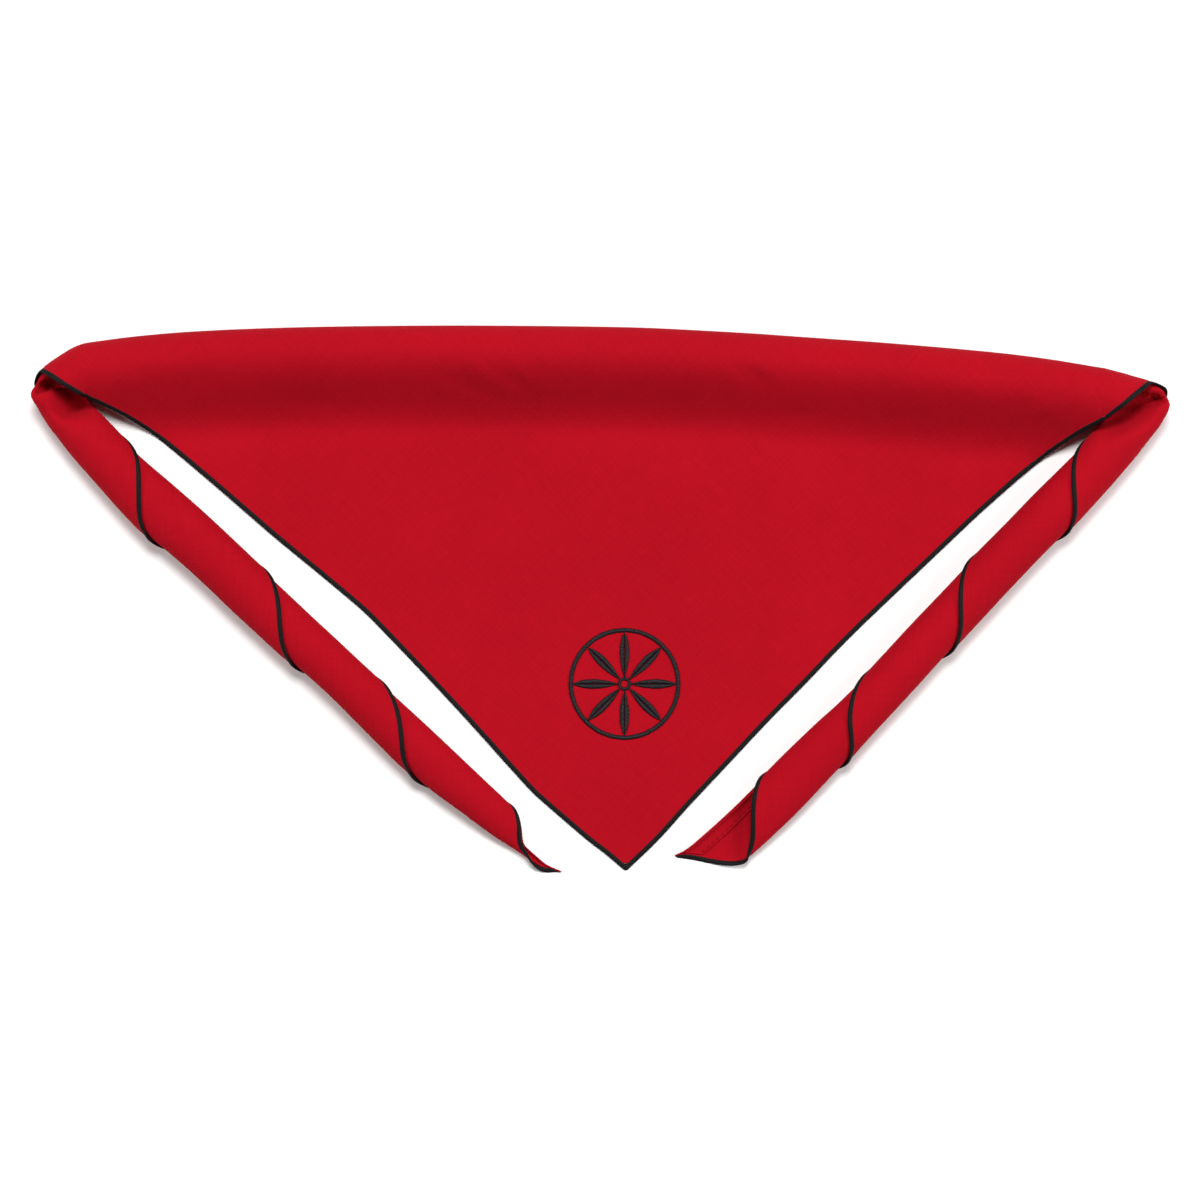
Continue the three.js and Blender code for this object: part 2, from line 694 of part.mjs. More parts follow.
function addMesh(parent, name, geometry, material) {
  const mesh = new THREE.Mesh(geometry, material);
  mesh.name = name;
  parent.add(mesh);
  return mesh;
}

const neckerchief = new THREE.Group();
const cloth = new THREE.Group();
const trim = new THREE.Group();
neckerchief.add(cloth, trim);

addMesh(cloth, "neck_roll", neckGeometry(), clothMaterial);
addMesh(cloth, "back_panel", panelGeometry(), clothMaterial);
const corners = [
  { word: "left", tail: leftTail, crease: leftCrease, leg: leftLeg },
  { word: "right", tail: rightTail, crease: rightCrease, leg: rightLeg },
];
for (const { word, tail, crease, leg } of corners) {
  const rolled = addMesh(cloth, `${word}_tail`, tailGeometry(tail), clothMaterial);
  rolled.position.set(crease.x, crease.y, 0);
  const path = edgingPath(tail, crease, leg);
  addMesh(trim, `${word}_edging`, edgingGeometry(path), edgingMaterial);
}
const hem = addMesh(trim, "long_edge_hem", hemGeometry(rightTail), clothMaterial);
hem.position.set(rightCrease.x, rightCrease.y, 0);
const rosette = addMesh(trim, "embroidered_rosette", await rosetteGeometry(), edgingMaterial);
rosette.position.set(apex.x, apex.y + ROSETTE_RISE, WALL + SEAM_GAP);

// The frame's origin is under the middle of the whole neckerchief, on the table.
const box = new THREE.Box3().setFromObject(neckerchief);
const centre = box.getCenter(new THREE.Vector3());
neckerchief.position.set(-centre.x, -centre.y, -box.min.z);

export default neckerchief;
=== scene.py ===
"""A neckerchief laid out flat: one triangle of red cotton, rolled up along its long edge.

The cloth is rolled up from its long edge towards its wrong side and folds back at both corners into
two tails. Its outermost turn leaves the roll at the crest and lies on the table as the back panel.

Sizes are in millimetres, measured from the crease at the left corner: X runs along the neck, Y from
the panel's apex to the neck and Z up from the table. They turn to metres, measured from the middle
of the whole, when a mesh is made. Turns are counted from the long edge, which lies at the inner side
of the roll: a quarter of a turn on is the side on the table, a half is the outer side and three
quarters is the top.
"""
import logging
import math
from dataclasses import dataclass
from enum import Enum
from typing import Callable, Sequence

import bpy
import numpy as np
from mathutils import Matrix, Vector, noise


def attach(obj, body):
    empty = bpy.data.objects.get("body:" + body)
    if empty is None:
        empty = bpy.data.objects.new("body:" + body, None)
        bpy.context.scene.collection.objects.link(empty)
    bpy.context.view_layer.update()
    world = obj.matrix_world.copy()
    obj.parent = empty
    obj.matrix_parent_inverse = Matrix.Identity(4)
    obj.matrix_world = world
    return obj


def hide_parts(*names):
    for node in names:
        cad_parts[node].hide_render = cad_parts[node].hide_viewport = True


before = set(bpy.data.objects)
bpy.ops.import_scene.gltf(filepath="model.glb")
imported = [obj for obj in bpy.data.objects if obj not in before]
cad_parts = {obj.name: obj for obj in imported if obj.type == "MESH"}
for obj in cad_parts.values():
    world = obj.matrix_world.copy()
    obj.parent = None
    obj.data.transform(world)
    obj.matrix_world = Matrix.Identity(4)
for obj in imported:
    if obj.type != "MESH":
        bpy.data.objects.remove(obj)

LOG = logging.getLogger("neckerchief")
BODY = "root"
MILLIMETRES = 1000.0  # in a metre
LEFT_CREASE_FROM_MIDDLE = (-235.201, 92.271)
SAME_PLACE = 1e-3  # points nearer to each other than this count as one
NO_LENGTH = 1e-9

Rows = tuple[tuple[float, ...], ...]


class Corner(Enum):
    """The two corners of the neck, with the side of the roll that each is on."""

    LEFT = -1
    RIGHT = 1


# Sizes of the whole cloth
@dataclass(frozen=True)
class ClothSizes:
    """Sizes that the roll, the panel and the tails share."""

    thickness: float = 0.6
    hidden_rim: float = 1.1  # how far the cloth goes on under its edging
    turn_pitch: float = 1.0  # cloth and the air between two turns of a loose roll
    turn_length: float = 62.0  # average length of cloth in one turn
    table_gap: float = 0.25
    crease_radius: float = 0.5
    neck_span: float = 465.0
    neck_fall: float = 10.6
    neck_width: float = 25.8
    neck_height: float = 22.0
    neck_bow: float = 13.3
    panel_top: float = 1.0
    panel_depth: float = 216.0
    apex_across: float = 246.5
    panel_run: float = 36.5  # from the crest to where the panel lies on the table
    tail_width: float = 23.9
    tail_height: float = 18.0
    crest_turns: float = 4.75  # where the panel leaves the roll
    mouth_turns: float = 5.0  # where the shell over a corner's fold reaches the crease
    shell_turns: float = 4.5  # where that shell starts, on the outer side
    under_turns: float = 4.2  # up to here the cloth is pleated beneath the shell
    under_fade: float = 0.25  # turns over which the pleats fade out
    lower_steps: int = 8  # rows on the lower half of each turn
    upper_steps: int = 20
    lip_rows: tuple[float, ...] = (1 / 16, 1 / 48)  # turns from the shell's edge back to its rows
    leg_points: int = 400
    apex_places: int = 2000  # tried for the panel's last row
    frame_inset: float = 1.5  # from the slanting edge to the point that gives its direction
    column_step: float = 3.6
    fold_step: float = 0.9
    tip_step: float = 1.8
    tip_length: float = 40.0
    panel_step: float = 3.2
    crease_step: float = 0.9
    crease_run: float = 9.0  # how far the fine rows go on past the creases
    clear_share: float = 0.45  # of a step, kept free between a row's end and its next point
    apex_width: float = 0.8  # of the panel's last row
    flat_long_edge: float = 1143.0
    flat_depth: float = 571.5


SIZES = ClothSizes()


def eased(
    start: np.ndarray, end: np.ndarray, slopes: Sequence[np.ndarray], width: np.ndarray, t: np.ndarray
) -> np.ndarray:
    """Gives values on smooth stretches between given ones.

    Args:
        start: The value at the start of each stretch.
        end: The value at its end.
        slopes: The slopes at its start and at its end.
        width: How long it is.
        t: The share of it that is passed, from 0 to 1.

    Returns:
        The values there.
    """
    rest = 1 - t
    ends = start * (1 + 2 * t) * rest * rest + end * (3 - 2 * t) * t * t
    return ends + width * t * rest * (slopes[0] * rest - slopes[1] * t)


def curve_through(rows: Sequence[Sequence[float]]) -> Callable[[np.ndarray], np.ndarray]:
    """Makes a smooth curve through given points that never overshoots them.

    Args:
        rows: Pairs of a place and the value there.

    Returns:
        A function from places to values, which holds its end values beyond the ends.
    """
    ordered = sorted((row[0], row[1]) for row in rows)
    x = np.array([row[0] for row in ordered])
    y = np.array([row[1] for row in ordered])
    slope = np.diff(y) / np.diff(x)
    product = slope[:-1] * slope[1:]
    total = np.where(product > 0, slope[:-1] + slope[1:], 1.0)
    inner = np.where(product > 0, 2 * product / total, 0.0)
    tangent = np.concatenate(([slope[0]], inner, [slope[-1]]))

    def value_at(place: np.ndarray) -> np.ndarray:
        """Gives the curve's value at each place.

        Args:
            place: The places.

        Returns:
            The values there.
        """
        at = np.clip(np.asarray(place, dtype=float), x[0], x[-1])
        i = np.clip(np.searchsorted(x, at) - 1, 0, len(x) - 2)
        width = x[i + 1] - x[i]
        return eased(y[i], y[i + 1], (tangent[i], tangent[i + 1]), width, (at - x[i]) / width)

    return value_at


def smooth_step(value: np.ndarray) -> np.ndarray:
    """Rises smoothly from 0 to 1 while the value goes from 0 to 1."""
    t = np.clip(value, 0.0, 1.0)
    return t * t * (3 - 2 * t)


def unit(vectors: np.ndarray) -> np.ndarray:
    """Scales each vector to a length of 1."""
    return vectors / np.maximum(np.linalg.norm(vectors, axis=-1, keepdims=True), NO_LENGTH)


# Soft relief
@dataclass(frozen=True)
class Pucker:
    """A soft ridge or dent that the cloth keeps from being folded.

    Its place is measured from the middle of the whole, and its length and widths are to where it has
    faded to about a third. The width is the one on its upper side, in Y, and below the other's.
    """

    x: float
    y: float
    degrees: float
    length: float
    width: float
    height: float
    below: float | None = None
    power: float = 2.0

    def rise(self, x: np.ndarray, y: np.ndarray) -> np.ndarray:
        """Gives how much the pucker lifts the cloth at each point.

        Args:
            x: The points' X, from the middle of the whole.
            y: Their Y.

        Returns:
            The rise at each, less than 0 in a dent.
        """
        turn = math.radians(self.degrees)
        along = (x - self.x) * math.cos(turn) + (y - self.y) * math.sin(turn)
        across = (y - self.y) * math.cos(turn) - (x - self.x) * math.sin(turn)
        width = np.where(across < 0, self.below or self.width, self.width)
        far = np.abs(along / self.length) ** self.power + np.abs(across / width) ** self.power
        return self.height * np.exp(-far)


# Place, direction, length, width and height of each ridge or dent in the roll and the panel
PUCKERS = (
    Pucker(-53.5, 104.5, -42, 11, 2.8, 0.55),
    Pucker(-63.0, 99.5, -25, 13, 3.6, -0.55),
    Pucker(-34.0, 104.0, -48, 8, 2.4, 0.5),
    Pucker(-41.0, 101.0, -40, 9, 2.4, -0.5),
    Pucker(-120.0, 85.5, -20, 16, 4.0, -0.5),
    Pucker(61.5, 95.5, -62, 9, 2.4, 0.55),
    Pucker(57.0, 97.5, -55, 9, 3.0, -0.4),
    Pucker(75.5, 106.5, -38, 9, 2.4, 0.5),
    Pucker(69.0, 103.0, -35, 10, 2.6, -0.5),
    Pucker(54.0, 117.0, -40, 11, 3.2, -0.35),
    Pucker(97.0, 82.0, -15, 14, 4.5, -0.5),
    Pucker(173.0, 95.5, -20, 16, 5.0, 0.35),
    Pucker(-190.0, 100.0, 12, 26, 6.0, -0.5),
    Pucker(205.0, 88.0, -30, 14, 4.0, 0.3),
)
# The same for the dents beneath the shells at both corners
PLEATS = (
    Pucker(-251.0, 99.0, 24, 8, 3.6, -14.0, below=1.4, power=4.0),
    Pucker(-242.0, 93.0, 10, 8.5, 8.5, -12.0, below=7.5, power=4.0),
    Pucker(-242.0, 90.0, 24, 9, 9.0, -3.0, below=9.0),
    Pucker(249.0, 92.8, 5, 13, 1.3, -13.0, below=3.4, power=4.0),
    Pucker(240.0, 88.0, 20, 14, 8.0, -12.0, below=9.0, power=3.0),
)


@dataclass(frozen=True)
class Relief:
    """The cloth's small unevenness, the same for all its layers so that they stay apart."""

    puckers: tuple[Pucker, ...] = PUCKERS
    pleats: tuple[Pucker, ...] = PLEATS
    deepest_pleat: float = -14.0
    wave_length: float = 46.0
    wave_height: float = 0.35
    wave_middle: float = 0.25  # added to the waves before what is below 0 is left flat
    wave_slice: float = 3.7  # which slice of the noise they are taken from
    foot: float = 3.0  # points lower than this stay on the table
    full_height: float = 9.0

    def lift(self, points: np.ndarray, under: float = 0.0) -> np.ndarray:
        """Raises points of the upper side of the cloth.

        Args:
            points: Points in millimetres from the left crease.
            under: How much of the pleats beneath a corner's shell the points take part in.

        Returns:
            The same points with their new heights.
        """
        x = points[:, 0] + LEFT_CREASE_FROM_MIDDLE[0]
        y = points[:, 1] + LEFT_CREASE_FROM_MIDDLE[1]
        rise = sum(pucker.rise(x, y) for pucker in self.puckers)
        share = smooth_step((points[:, 2] - self.foot) / (self.full_height - self.foot))
        places = np.stack([x, y], axis=-1) / self.wave_length
        waves = np.array([noise.noise(Vector((*place, self.wave_slice))) for place in places])
        lifted = points.copy()
        lifted[:, 2] += rise * share + self.wave_height * np.maximum(waves + self.wave_middle, 0.0)
        if under > 0:
            sunk = np.maximum(sum(pleat.rise(x, y) for pleat in self.pleats), self.deepest_pleat)
            lifted[:, 2] += under * sunk * np.clip(points[:, 2] / SIZES.tail_height, 0, 1)
        return lifted


RELIEF = Relief()


# Neck and panel
NECK_LINE: Rows = (
    (0, 0.05), (0.045, 0.29), (0.1, 0.5), (0.18, 0.69), (0.28, 0.84), (0.4, 0.95), (0.53, 1.0),
    (0.63, 0.92), (0.72, 0.78), (0.79, 0.66), (0.9, 0.41), (0.95, 0.23), (1, -0.015),
)
LEFT_LEG: Rows = (
    (-0.0052, -0.0059), (0.03, -0.0158), (0.056, -0.0222), (0.09, -0.0279), (0.115, -0.0307),
    (0.15, -0.0321), (0.182, -0.0327), (0.24, -0.0334), (0.309, -0.0336), (0.36, -0.0348),
    (0.404, -0.0363), (0.48, -0.0378), (0.54, -0.0338), (0.595, -0.029), (0.67, -0.0216),
    (0.737, -0.0141), (0.79, -0.0076), (0.846, -0.0025), (0.93, -0.0032), (0.97, -0.0056),
    (1, -0.006),
)
RIGHT_LEG: Rows = (
    (-0.0053, -0.0056), (0.03, -0.0152), (0.056, -0.0198), (0.09, -0.0252), (0.15, -0.0298),
    (0.196, -0.0312), (0.24, -0.032), (0.306, -0.0316), (0.423, -0.0309), (0.48, -0.0304),
    (0.537, -0.0286), (0.595, -0.0253), (0.678, -0.0221), (0.768, -0.0166), (0.858, -0.0109),
    (0.95, -0.0042), (1, -0.004),
)


@dataclass(frozen=True)
class Neck:
    """The rolled stretch along the neck, and the panel that leaves it at its crest.

    Its lines hold places along them as shares of their length. The outer line rises by shares of the
    neck's bow, and the legs bow out from a straight line between crease and apex by shares of it.
    """

    outer_line: Rows = NECK_LINE
    left_leg: Rows = LEFT_LEG
    right_leg: Rows = RIGHT_LEG

    def crest(self, x: np.ndarray) -> np.ndarray:
        """Gives the Y of the roll's crest at each X.

        Args:
            x: Places along the neck.

        Returns:
            The Y at each.
        """
        along = np.asarray(x) / SIZES.neck_span
        rise = curve_through(self.outer_line)(along)
        return SIZES.neck_width / 2 + rise * SIZES.neck_bow - along * SIZES.neck_fall

    def rolled(self, x: np.ndarray, turns: np.ndarray, depth: float) -> np.ndarray:
        """Gives points of the rolled cloth.

        Args:
            x: Places along the neck.
            turns: How far the cloth is wound at each.
            depth: How far below the cloth's outer face the points lie.

        Returns:
            The points.
        """
        middle = self.crest(x)
        inner = np.stack([x, middle - SIZES.neck_width / 2], axis=-1)
        outer = np.stack([x, middle + SIZES.neck_width / 2], axis=-1)
        buried = (SIZES.crest_turns - turns) * SIZES.turn_pitch + depth
        return rolled_points(inner, outer, np.full(len(x), SIZES.neck_height), turns, buried, 0.0)

    def panel(self, x: np.ndarray, distance: np.ndarray, depth: float) -> np.ndarray:
        """Gives points of the panel straight below the crest, at distances from it.

        Args:
            x: Places along the neck.
            distance: Distances from the crest.
            depth: How far below the cloth's outer face the points lie.

        Returns:
            The points.
        """
        start = np.stack([x, self.crest(x)], axis=-1)
        down = np.tile([0.0, -1.0], (len(x), 1))
        return panel_points(start, down, distance, depth)

    def leg_line(self, corner: Corner) -> np.ndarray:
        """Gives the X, and the distance from the crest, of dense points along a slanting edge.

        Args:
            corner: The side of the cloth.

        Returns:
            A row for each point, from just above the crease to the apex.
        """
        crease = np.array(CREASES[corner])
        apex = np.array([SIZES.apex_across, -SIZES.panel_depth])
        line = apex - crease
        outward = np.array([-line[1], line[0]]) * corner.value
        table = self.left_leg if corner is Corner.LEFT else self.right_leg
        along = np.linspace(table[0][0], 1, SIZES.leg_points)
        bow = curve_through(table)(along)
        points = crease + along[:, None] * line + bow[:, None] * outward
        x = np.clip(points[:, 0], 0, SIZES.neck_span)
        return np.stack([x, self.crest(x) - points[:, 1]], axis=-1)

    def crease_distance(self, corner: Corner) -> float:
        """Gives how far a corner's crease lies from the crest."""
        x, y = CREASES[corner]
        return float(self.crest(x)) - y


CREASES = {Corner.LEFT: (0.0, 0.0), Corner.RIGHT: (SIZES.neck_span, -SIZES.neck_fall)}


def panel_points(start: np.ndarray, down: np.ndarray, distance: np.ndarray, depth: float) -> np.ndarray:
    """Gives points of the cloth where it comes down from the roll's crest to the table.

    Args:
        start: Places on the crest line.
        down: Unit directions away from the crest.
        distance: Distances from the crest.
        depth: How far below the cloth's outer face the points lie.

    Returns:
        The points.
    """
    fall = SIZES.table_gap + SIZES.neck_height - SIZES.panel_top
    t = np.clip(distance / SIZES.panel_run, 0, 1)
    height = SIZES.panel_top + fall * (1 - smooth_step(t))
    tilt = np.arctan(-fall * 6 * t * (1 - t) / SIZES.panel_run)
    place = start + down * (distance + depth * np.sin(tilt))[:, None]
    return np.column_stack([place, height - depth * np.cos(tilt)])


def rolled_points(
    inner: np.ndarray,
    outer: np.ndarray,
    height: np.ndarray,
    turns: np.ndarray,
    depth: np.ndarray,
    lift: np.ndarray | float,
) -> np.ndarray:
    """Gives points of a rolled layer.

    Args:
        inner: The roll's inner side at each point, in X and Y.
        outer: The roll's outer side.
        height: The roll's height.
        turns: How far the cloth is wound.
        depth: How far in from the roll's outside each point is.
        lift: How much higher than the height its top stands.

    Returns:
        The points.
    """
    angle = math.pi + turns * 2 * math.pi
    across = outer - inner
    half_width = np.linalg.norm(across, axis=-1) / 2 - depth
    half_height = height / 2 + lift - depth
    place = (inner + outer) / 2 + unit(across) * (half_width * np.cos(angle))[:, None]
    rise = SIZES.table_gap + height / 2 + half_height * np.sin(angle)
    return np.column_stack([place, rise])


# Tails
@dataclass(frozen=True)
class TailShape:
    """The measured shape of one tail with the fold at its corner.

    Sections hold the place from the crease to the tip, the inner and the outer side, and the height.
    Reach holds how far the corner's fold reaches in a direction, where 90 degrees is the neck. Wraps
    and mouth hold where the slanting edge crosses each turn, first along the tail, then in the fold.
    The lip holds the direction, the spread and the size of the bulge that hides the edge's way down.
    """

    corner: Corner
    length: float
    sections: Rows
    reach: Rows
    wraps: Rows
    mouth: Rows
    lip: tuple[float, float, float]


LEFT_SHAPE = TailShape(
    corner=Corner.LEFT,
    length=307.5,
    sections=(
        (0, 0.02, 0.961, 1), (0.04, 0.025, 1.025, 1), (0.105, 0.045, 1.074, 1), (0.18, -0.01, 1.109, 1),
        (0.25, -0.055, 1.031, 1), (0.31, -0.072, 0.976, 0.99), (0.374, -0.085, 0.95, 0.98),
        (0.42, -0.097, 0.921, 0.97), (0.47, -0.108, 0.887, 0.95), (0.51, -0.122, 0.835, 0.94),
        (0.56, -0.132, 0.79, 0.92), (0.6, -0.145, 0.776, 0.9), (0.65, -0.166, 0.775, 0.87),
        (0.7, -0.186, 0.768, 0.83), (0.77, -0.201, 0.707, 0.76), (0.83, -0.211, 0.584, 0.68),
        (0.865, -0.218, 0.515, 0.6), (0.9, -0.167, 0.432, 0.46), (0.936, 0.12, 0.321, 0.25),
        (0.972, 0.106, 0.239, 0.18), (1, 0, 0.1, 0.14),
    ),
    reach=(
        (-45, 0.89), (-31, 0.887), (-12, 0.935), (6, 0.985), (19, 1.0), (27, 1.01), (35, 0.997),
        (57, 0.95), (90, 1.025),
    ),
    wraps=(
        (0, 1), (0.5, 0.955), (0.75, 0.917), (1, 0.869), (1.5, 0.737), (1.75, 0.676), (2, 0.598),
        (2.5, 0.492), (2.75, 0.429), (3, 0.356), (3.5, 0.207), (3.75, 0.144), (4, 0.072),
    ),
    mouth=(
        (4.15, -2), (4.35, 10), (4.5, 24), (4.55, 35), (4.65, 37.5), (4.75, 40.6), (4.8125, 43.6),
        (4.875, 49.4), (4.9125, 57), (4.9375, 68), (4.953, 90),
    ),
    lip=(5.0, 12.0, 4.0),
)
RIGHT_SHAPE = TailShape(
    corner=Corner.RIGHT,
    length=279.0,
    sections=(
        (0, 0.02, 0.993, 1), (0.06, 0.054, 1.042, 1), (0.15, 0.061, 1.071, 1), (0.23, 0.088, 1.065, 0.99),
        (0.31, 0.103, 1.078, 0.98), (0.38, 0.135, 1.099, 0.97), (0.46, 0.171, 1.115, 0.94),
        (0.52, 0.209, 1.142, 0.92), (0.58, 0.24, 1.161, 0.88), (0.63, 0.239, 1.177, 0.85),
        (0.68, 0.22, 1.198, 0.8), (0.74, 0.216, 1.21, 0.73), (0.8, 0.228, 1.222, 0.64),
        (0.87, 0.242, 1.197, 0.5), (0.91, 0.235, 1.164, 0.4), (0.937, 0.223, 1.084, 0.36),
        (0.967, 0.206, 0.905, 0.3), (0.985, 0.177, 0.648, 0.24), (1, 0.12, 0.36, 0.16),
    ),
    reach=(
        (-45, 0.92), (-35, 0.915), (-20, 0.96), (7, 1.205), (16, 1.27), (26, 1.3), (40, 1.165),
        (57, 1.02), (75, 0.97), (90, 0.992),
    ),
    wraps=(
        (0, 1), (0.125, 0.985), (0.25, 0.966), (0.375, 0.943), (0.5, 0.918), (0.75, 0.861),
        (1, 0.793), (1.5, 0.682), (1.75, 0.635), (2, 0.557), (2.5, 0.429), (2.75, 0.37),
        (3, 0.298), (3.5, 0.158), (3.75, 0.102), (4, 0.031),
    ),
    mouth=(
        (4.15, 4), (4.35, 17), (4.5, 31), (4.55, 41), (4.65, 42.6), (4.75, 44.9), (4.8125, 47.1),
        (4.875, 51.3), (4.9125, 57), (4.9375, 66), (4.953, 90),
    ),
    lip=(15.0, 11.0, 4.0),
)


def under_share(turns: np.ndarray | float) -> np.ndarray:
    """Gives how much of the folds beneath a corner's shell the cloth has at each turn."""
    return 1 - smooth_step((turns - SIZES.under_turns) / SIZES.under_fade)


class Tail:
    """One rolled tail with the fold at its corner.

    Places are lengths from the tip: along the tail first, then along the middle of the fold.
    """

    def __init__(self, shape: TailShape) -> None:
        """Makes the tail's curves from its measured shape.

        Args:
            shape: The measured shape.
        """
        self.shape = shape
        self.inner = curve_through([(row[0], row[1]) for row in shape.sections])
        self.outer = curve_through([(row[0], row[2]) for row in shape.sections])
        self.height = curve_through([(row[0], row[3]) for row in shape.sections])
        self.reach = curve_through(shape.reach)
        self.tail_degrees = shape.reach[0][0]
        self.mouth_degrees = min(degrees for turns, degrees in shape.mouth if turns > SIZES.shell_turns)
        self.per_degree = math.radians(SIZES.neck_width / 2)
        self.end = self.place_in_fold(90.0)
        edge = [(turns, (1 - along) * shape.length) for turns, along in shape.wraps]
        edge += [(turns, self.place_in_fold(degrees)) for turns, degrees in shape.mouth]
        self.edge_place = curve_through(edge)
        self.turns_at = curve_through([(place, turns) for turns, place in edge])

    def place_in_fold(self, degrees: float) -> float:
        """Gives the place of a direction in the corner's fold."""
        return self.shape.length + (degrees - self.tail_degrees) * self.per_degree

    def outward(self, degrees: np.ndarray) -> np.ndarray:
        """Gives the unit direction from the crease out through the roll."""
        angle = np.radians(degrees)
        return np.stack([self.shape.corner.value * np.cos(angle), np.sin(angle)], axis=-1)

    def degrees_at(self, place: np.ndarray) -> np.ndarray:
        """Gives the direction in the corner's fold of each place."""
        return self.tail_degrees + (place - self.shape.length) / self.per_degree

    def section(self, place: np.ndarray) -> tuple[np.ndarray, np.ndarray, np.ndarray]:
        """Gives the roll's inner side, outer side and height at each place.

        Args:
            place: Places along the tail and its fold.

        Returns:
            Both sides in X and Y from the crease, and the height.
        """
        degrees = self.degrees_at(place)
        folded = self.outward(degrees)
        opening = (degrees - self.mouth_degrees) / (90 - self.mouth_degrees)
        taller = (SIZES.neck_height - SIZES.tail_height) * smooth_step(opening)
        along = np.clip(1 - place / self.shape.length, 0, 1)
        outward = self.outward(np.full(len(place), self.tail_degrees))
        onward = self.outward(np.full(len(place), self.tail_degrees - 90))
        start = onward * (along * self.shape.length)[:, None]
        tail_inner = start + outward * (self.inner(along) * SIZES.tail_width)[:, None]
        tail_outer = start + outward * (self.outer(along) * SIZES.tail_width)[:, None]
        fold_outer = folded * (self.reach(degrees) * SIZES.neck_width)[:, None]
        in_fold = place > self.shape.length
        inner = np.where(in_fold[:, None], folded * SIZES.crease_radius, tail_inner)
        outer = np.where(in_fold[:, None], fold_outer, tail_outer)
        height = np.where(in_fold, SIZES.tail_height + taller, self.height(along) * SIZES.tail_height)
        return inner, outer, height

    def lip_bulge(self, place: np.ndarray, turns: np.ndarray) -> np.ndarray:
        """Gives how far the lip at the corner bulges out, above the roll's middle height.

        Args:
            place: Places along the tail and its fold.
            turns: How far the cloth is wound at each.

        Returns:
            The bulge at each.
        """
        centre, spread, size = self.shape.lip
        near = np.exp(-(((self.degrees_at(place) - centre) / spread) ** 2))
        around = np.sin(4 * math.pi * turns) * (np.sin(2 * math.pi * turns) < 0)
        return size * near * np.maximum(around, 0.0) * under_share(turns)

    def point(self, place: np.ndarray, turns: np.ndarray, depth: float) -> np.ndarray:
        """Gives points of the cloth.

        Args:
            place: Places along the tail and its fold.
            turns: How far the cloth is wound at each. Beyond the crest they say how far the point
                is from the crest towards the crease.
            depth: How far below the cloth's outer face the points lie.

        Returns:
            The points, measured from the left crease.
        """
        inner, outer, height = self.section(place)
        crest = (inner + outer) / 2
        across = inner - outer
        share = np.clip((turns - SIZES.crest_turns) / (SIZES.mouth_turns - SIZES.crest_turns), 0, 1)
        distance = share * np.linalg.norm(across, axis=-1) / 2
        panel = panel_points(crest, unit(across), distance, depth)
        lift = np.where(turns > SIZES.shell_turns, SIZES.neck_height - height, 0.0)
        layers = np.minimum(self.turns_at(place), SIZES.crest_turns) - turns
        buried = np.maximum(layers, 0.0) * SIZES.turn_pitch + depth
        rolled = rolled_points(inner, outer, height, turns, buried, lift)
        rolled[:, :2] -= unit(across) * self.lip_bulge(place, turns)[:, None]
        points = np.where((turns > SIZES.crest_turns)[:, None], panel, rolled)
        points[:, :2] += CREASES[self.shape.corner]
        return points


# Meshes
@dataclass
class MeshData:
    """Points, faces and cloth coordinates that make a mesh."""

    points: np.ndarray
    faces: list[tuple[int, ...]]
    flat: np.ndarray | None = None

    def object_named(self, name: str) -> bpy.types.Object:
        """Makes a smooth mesh object in metres, measured from the middle of the whole.

        Args:
            name: The object's name.

        Returns:
            The object, linked to the scene.
        """
        shift = np.array([*LEFT_CREASE_FROM_MIDDLE, 0.0])
        mesh = bpy.data.meshes.new(name)
        mesh.from_pydata(((self.points + shift) / MILLIMETRES).tolist(), [], self.faces)
        mesh.validate()
        mesh.shade_smooth()
        if self.flat is not None:
            layer = mesh.uv_layers.new(name="cloth")
            corners = np.zeros(len(mesh.loops), dtype=np.int64)
            mesh.loops.foreach_get("vertex_index", corners)
            layer.data.foreach_set("uv", self.flat[corners].ravel())
        piece = bpy.data.objects.new(name, mesh)
        bpy.context.scene.collection.objects.link(piece)
        return piece


def dress(piece: bpy.types.Object, material: bpy.types.Material, slot: str, *nodes: str) -> bpy.types.Object:
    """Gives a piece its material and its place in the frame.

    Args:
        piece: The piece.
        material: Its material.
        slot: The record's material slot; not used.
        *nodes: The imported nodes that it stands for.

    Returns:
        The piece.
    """
    piece.data.materials.append(material)
    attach(piece, BODY)
    if nodes:
        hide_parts(*nodes)
    return piece


@dataclass(frozen=True)
class EdgeFrames:
    """Points along the cloth's slanting edge, with the directions there."""

    centre: np.ndarray
    out: np.ndarray
    normal: np.ndarray
    along: np.ndarray


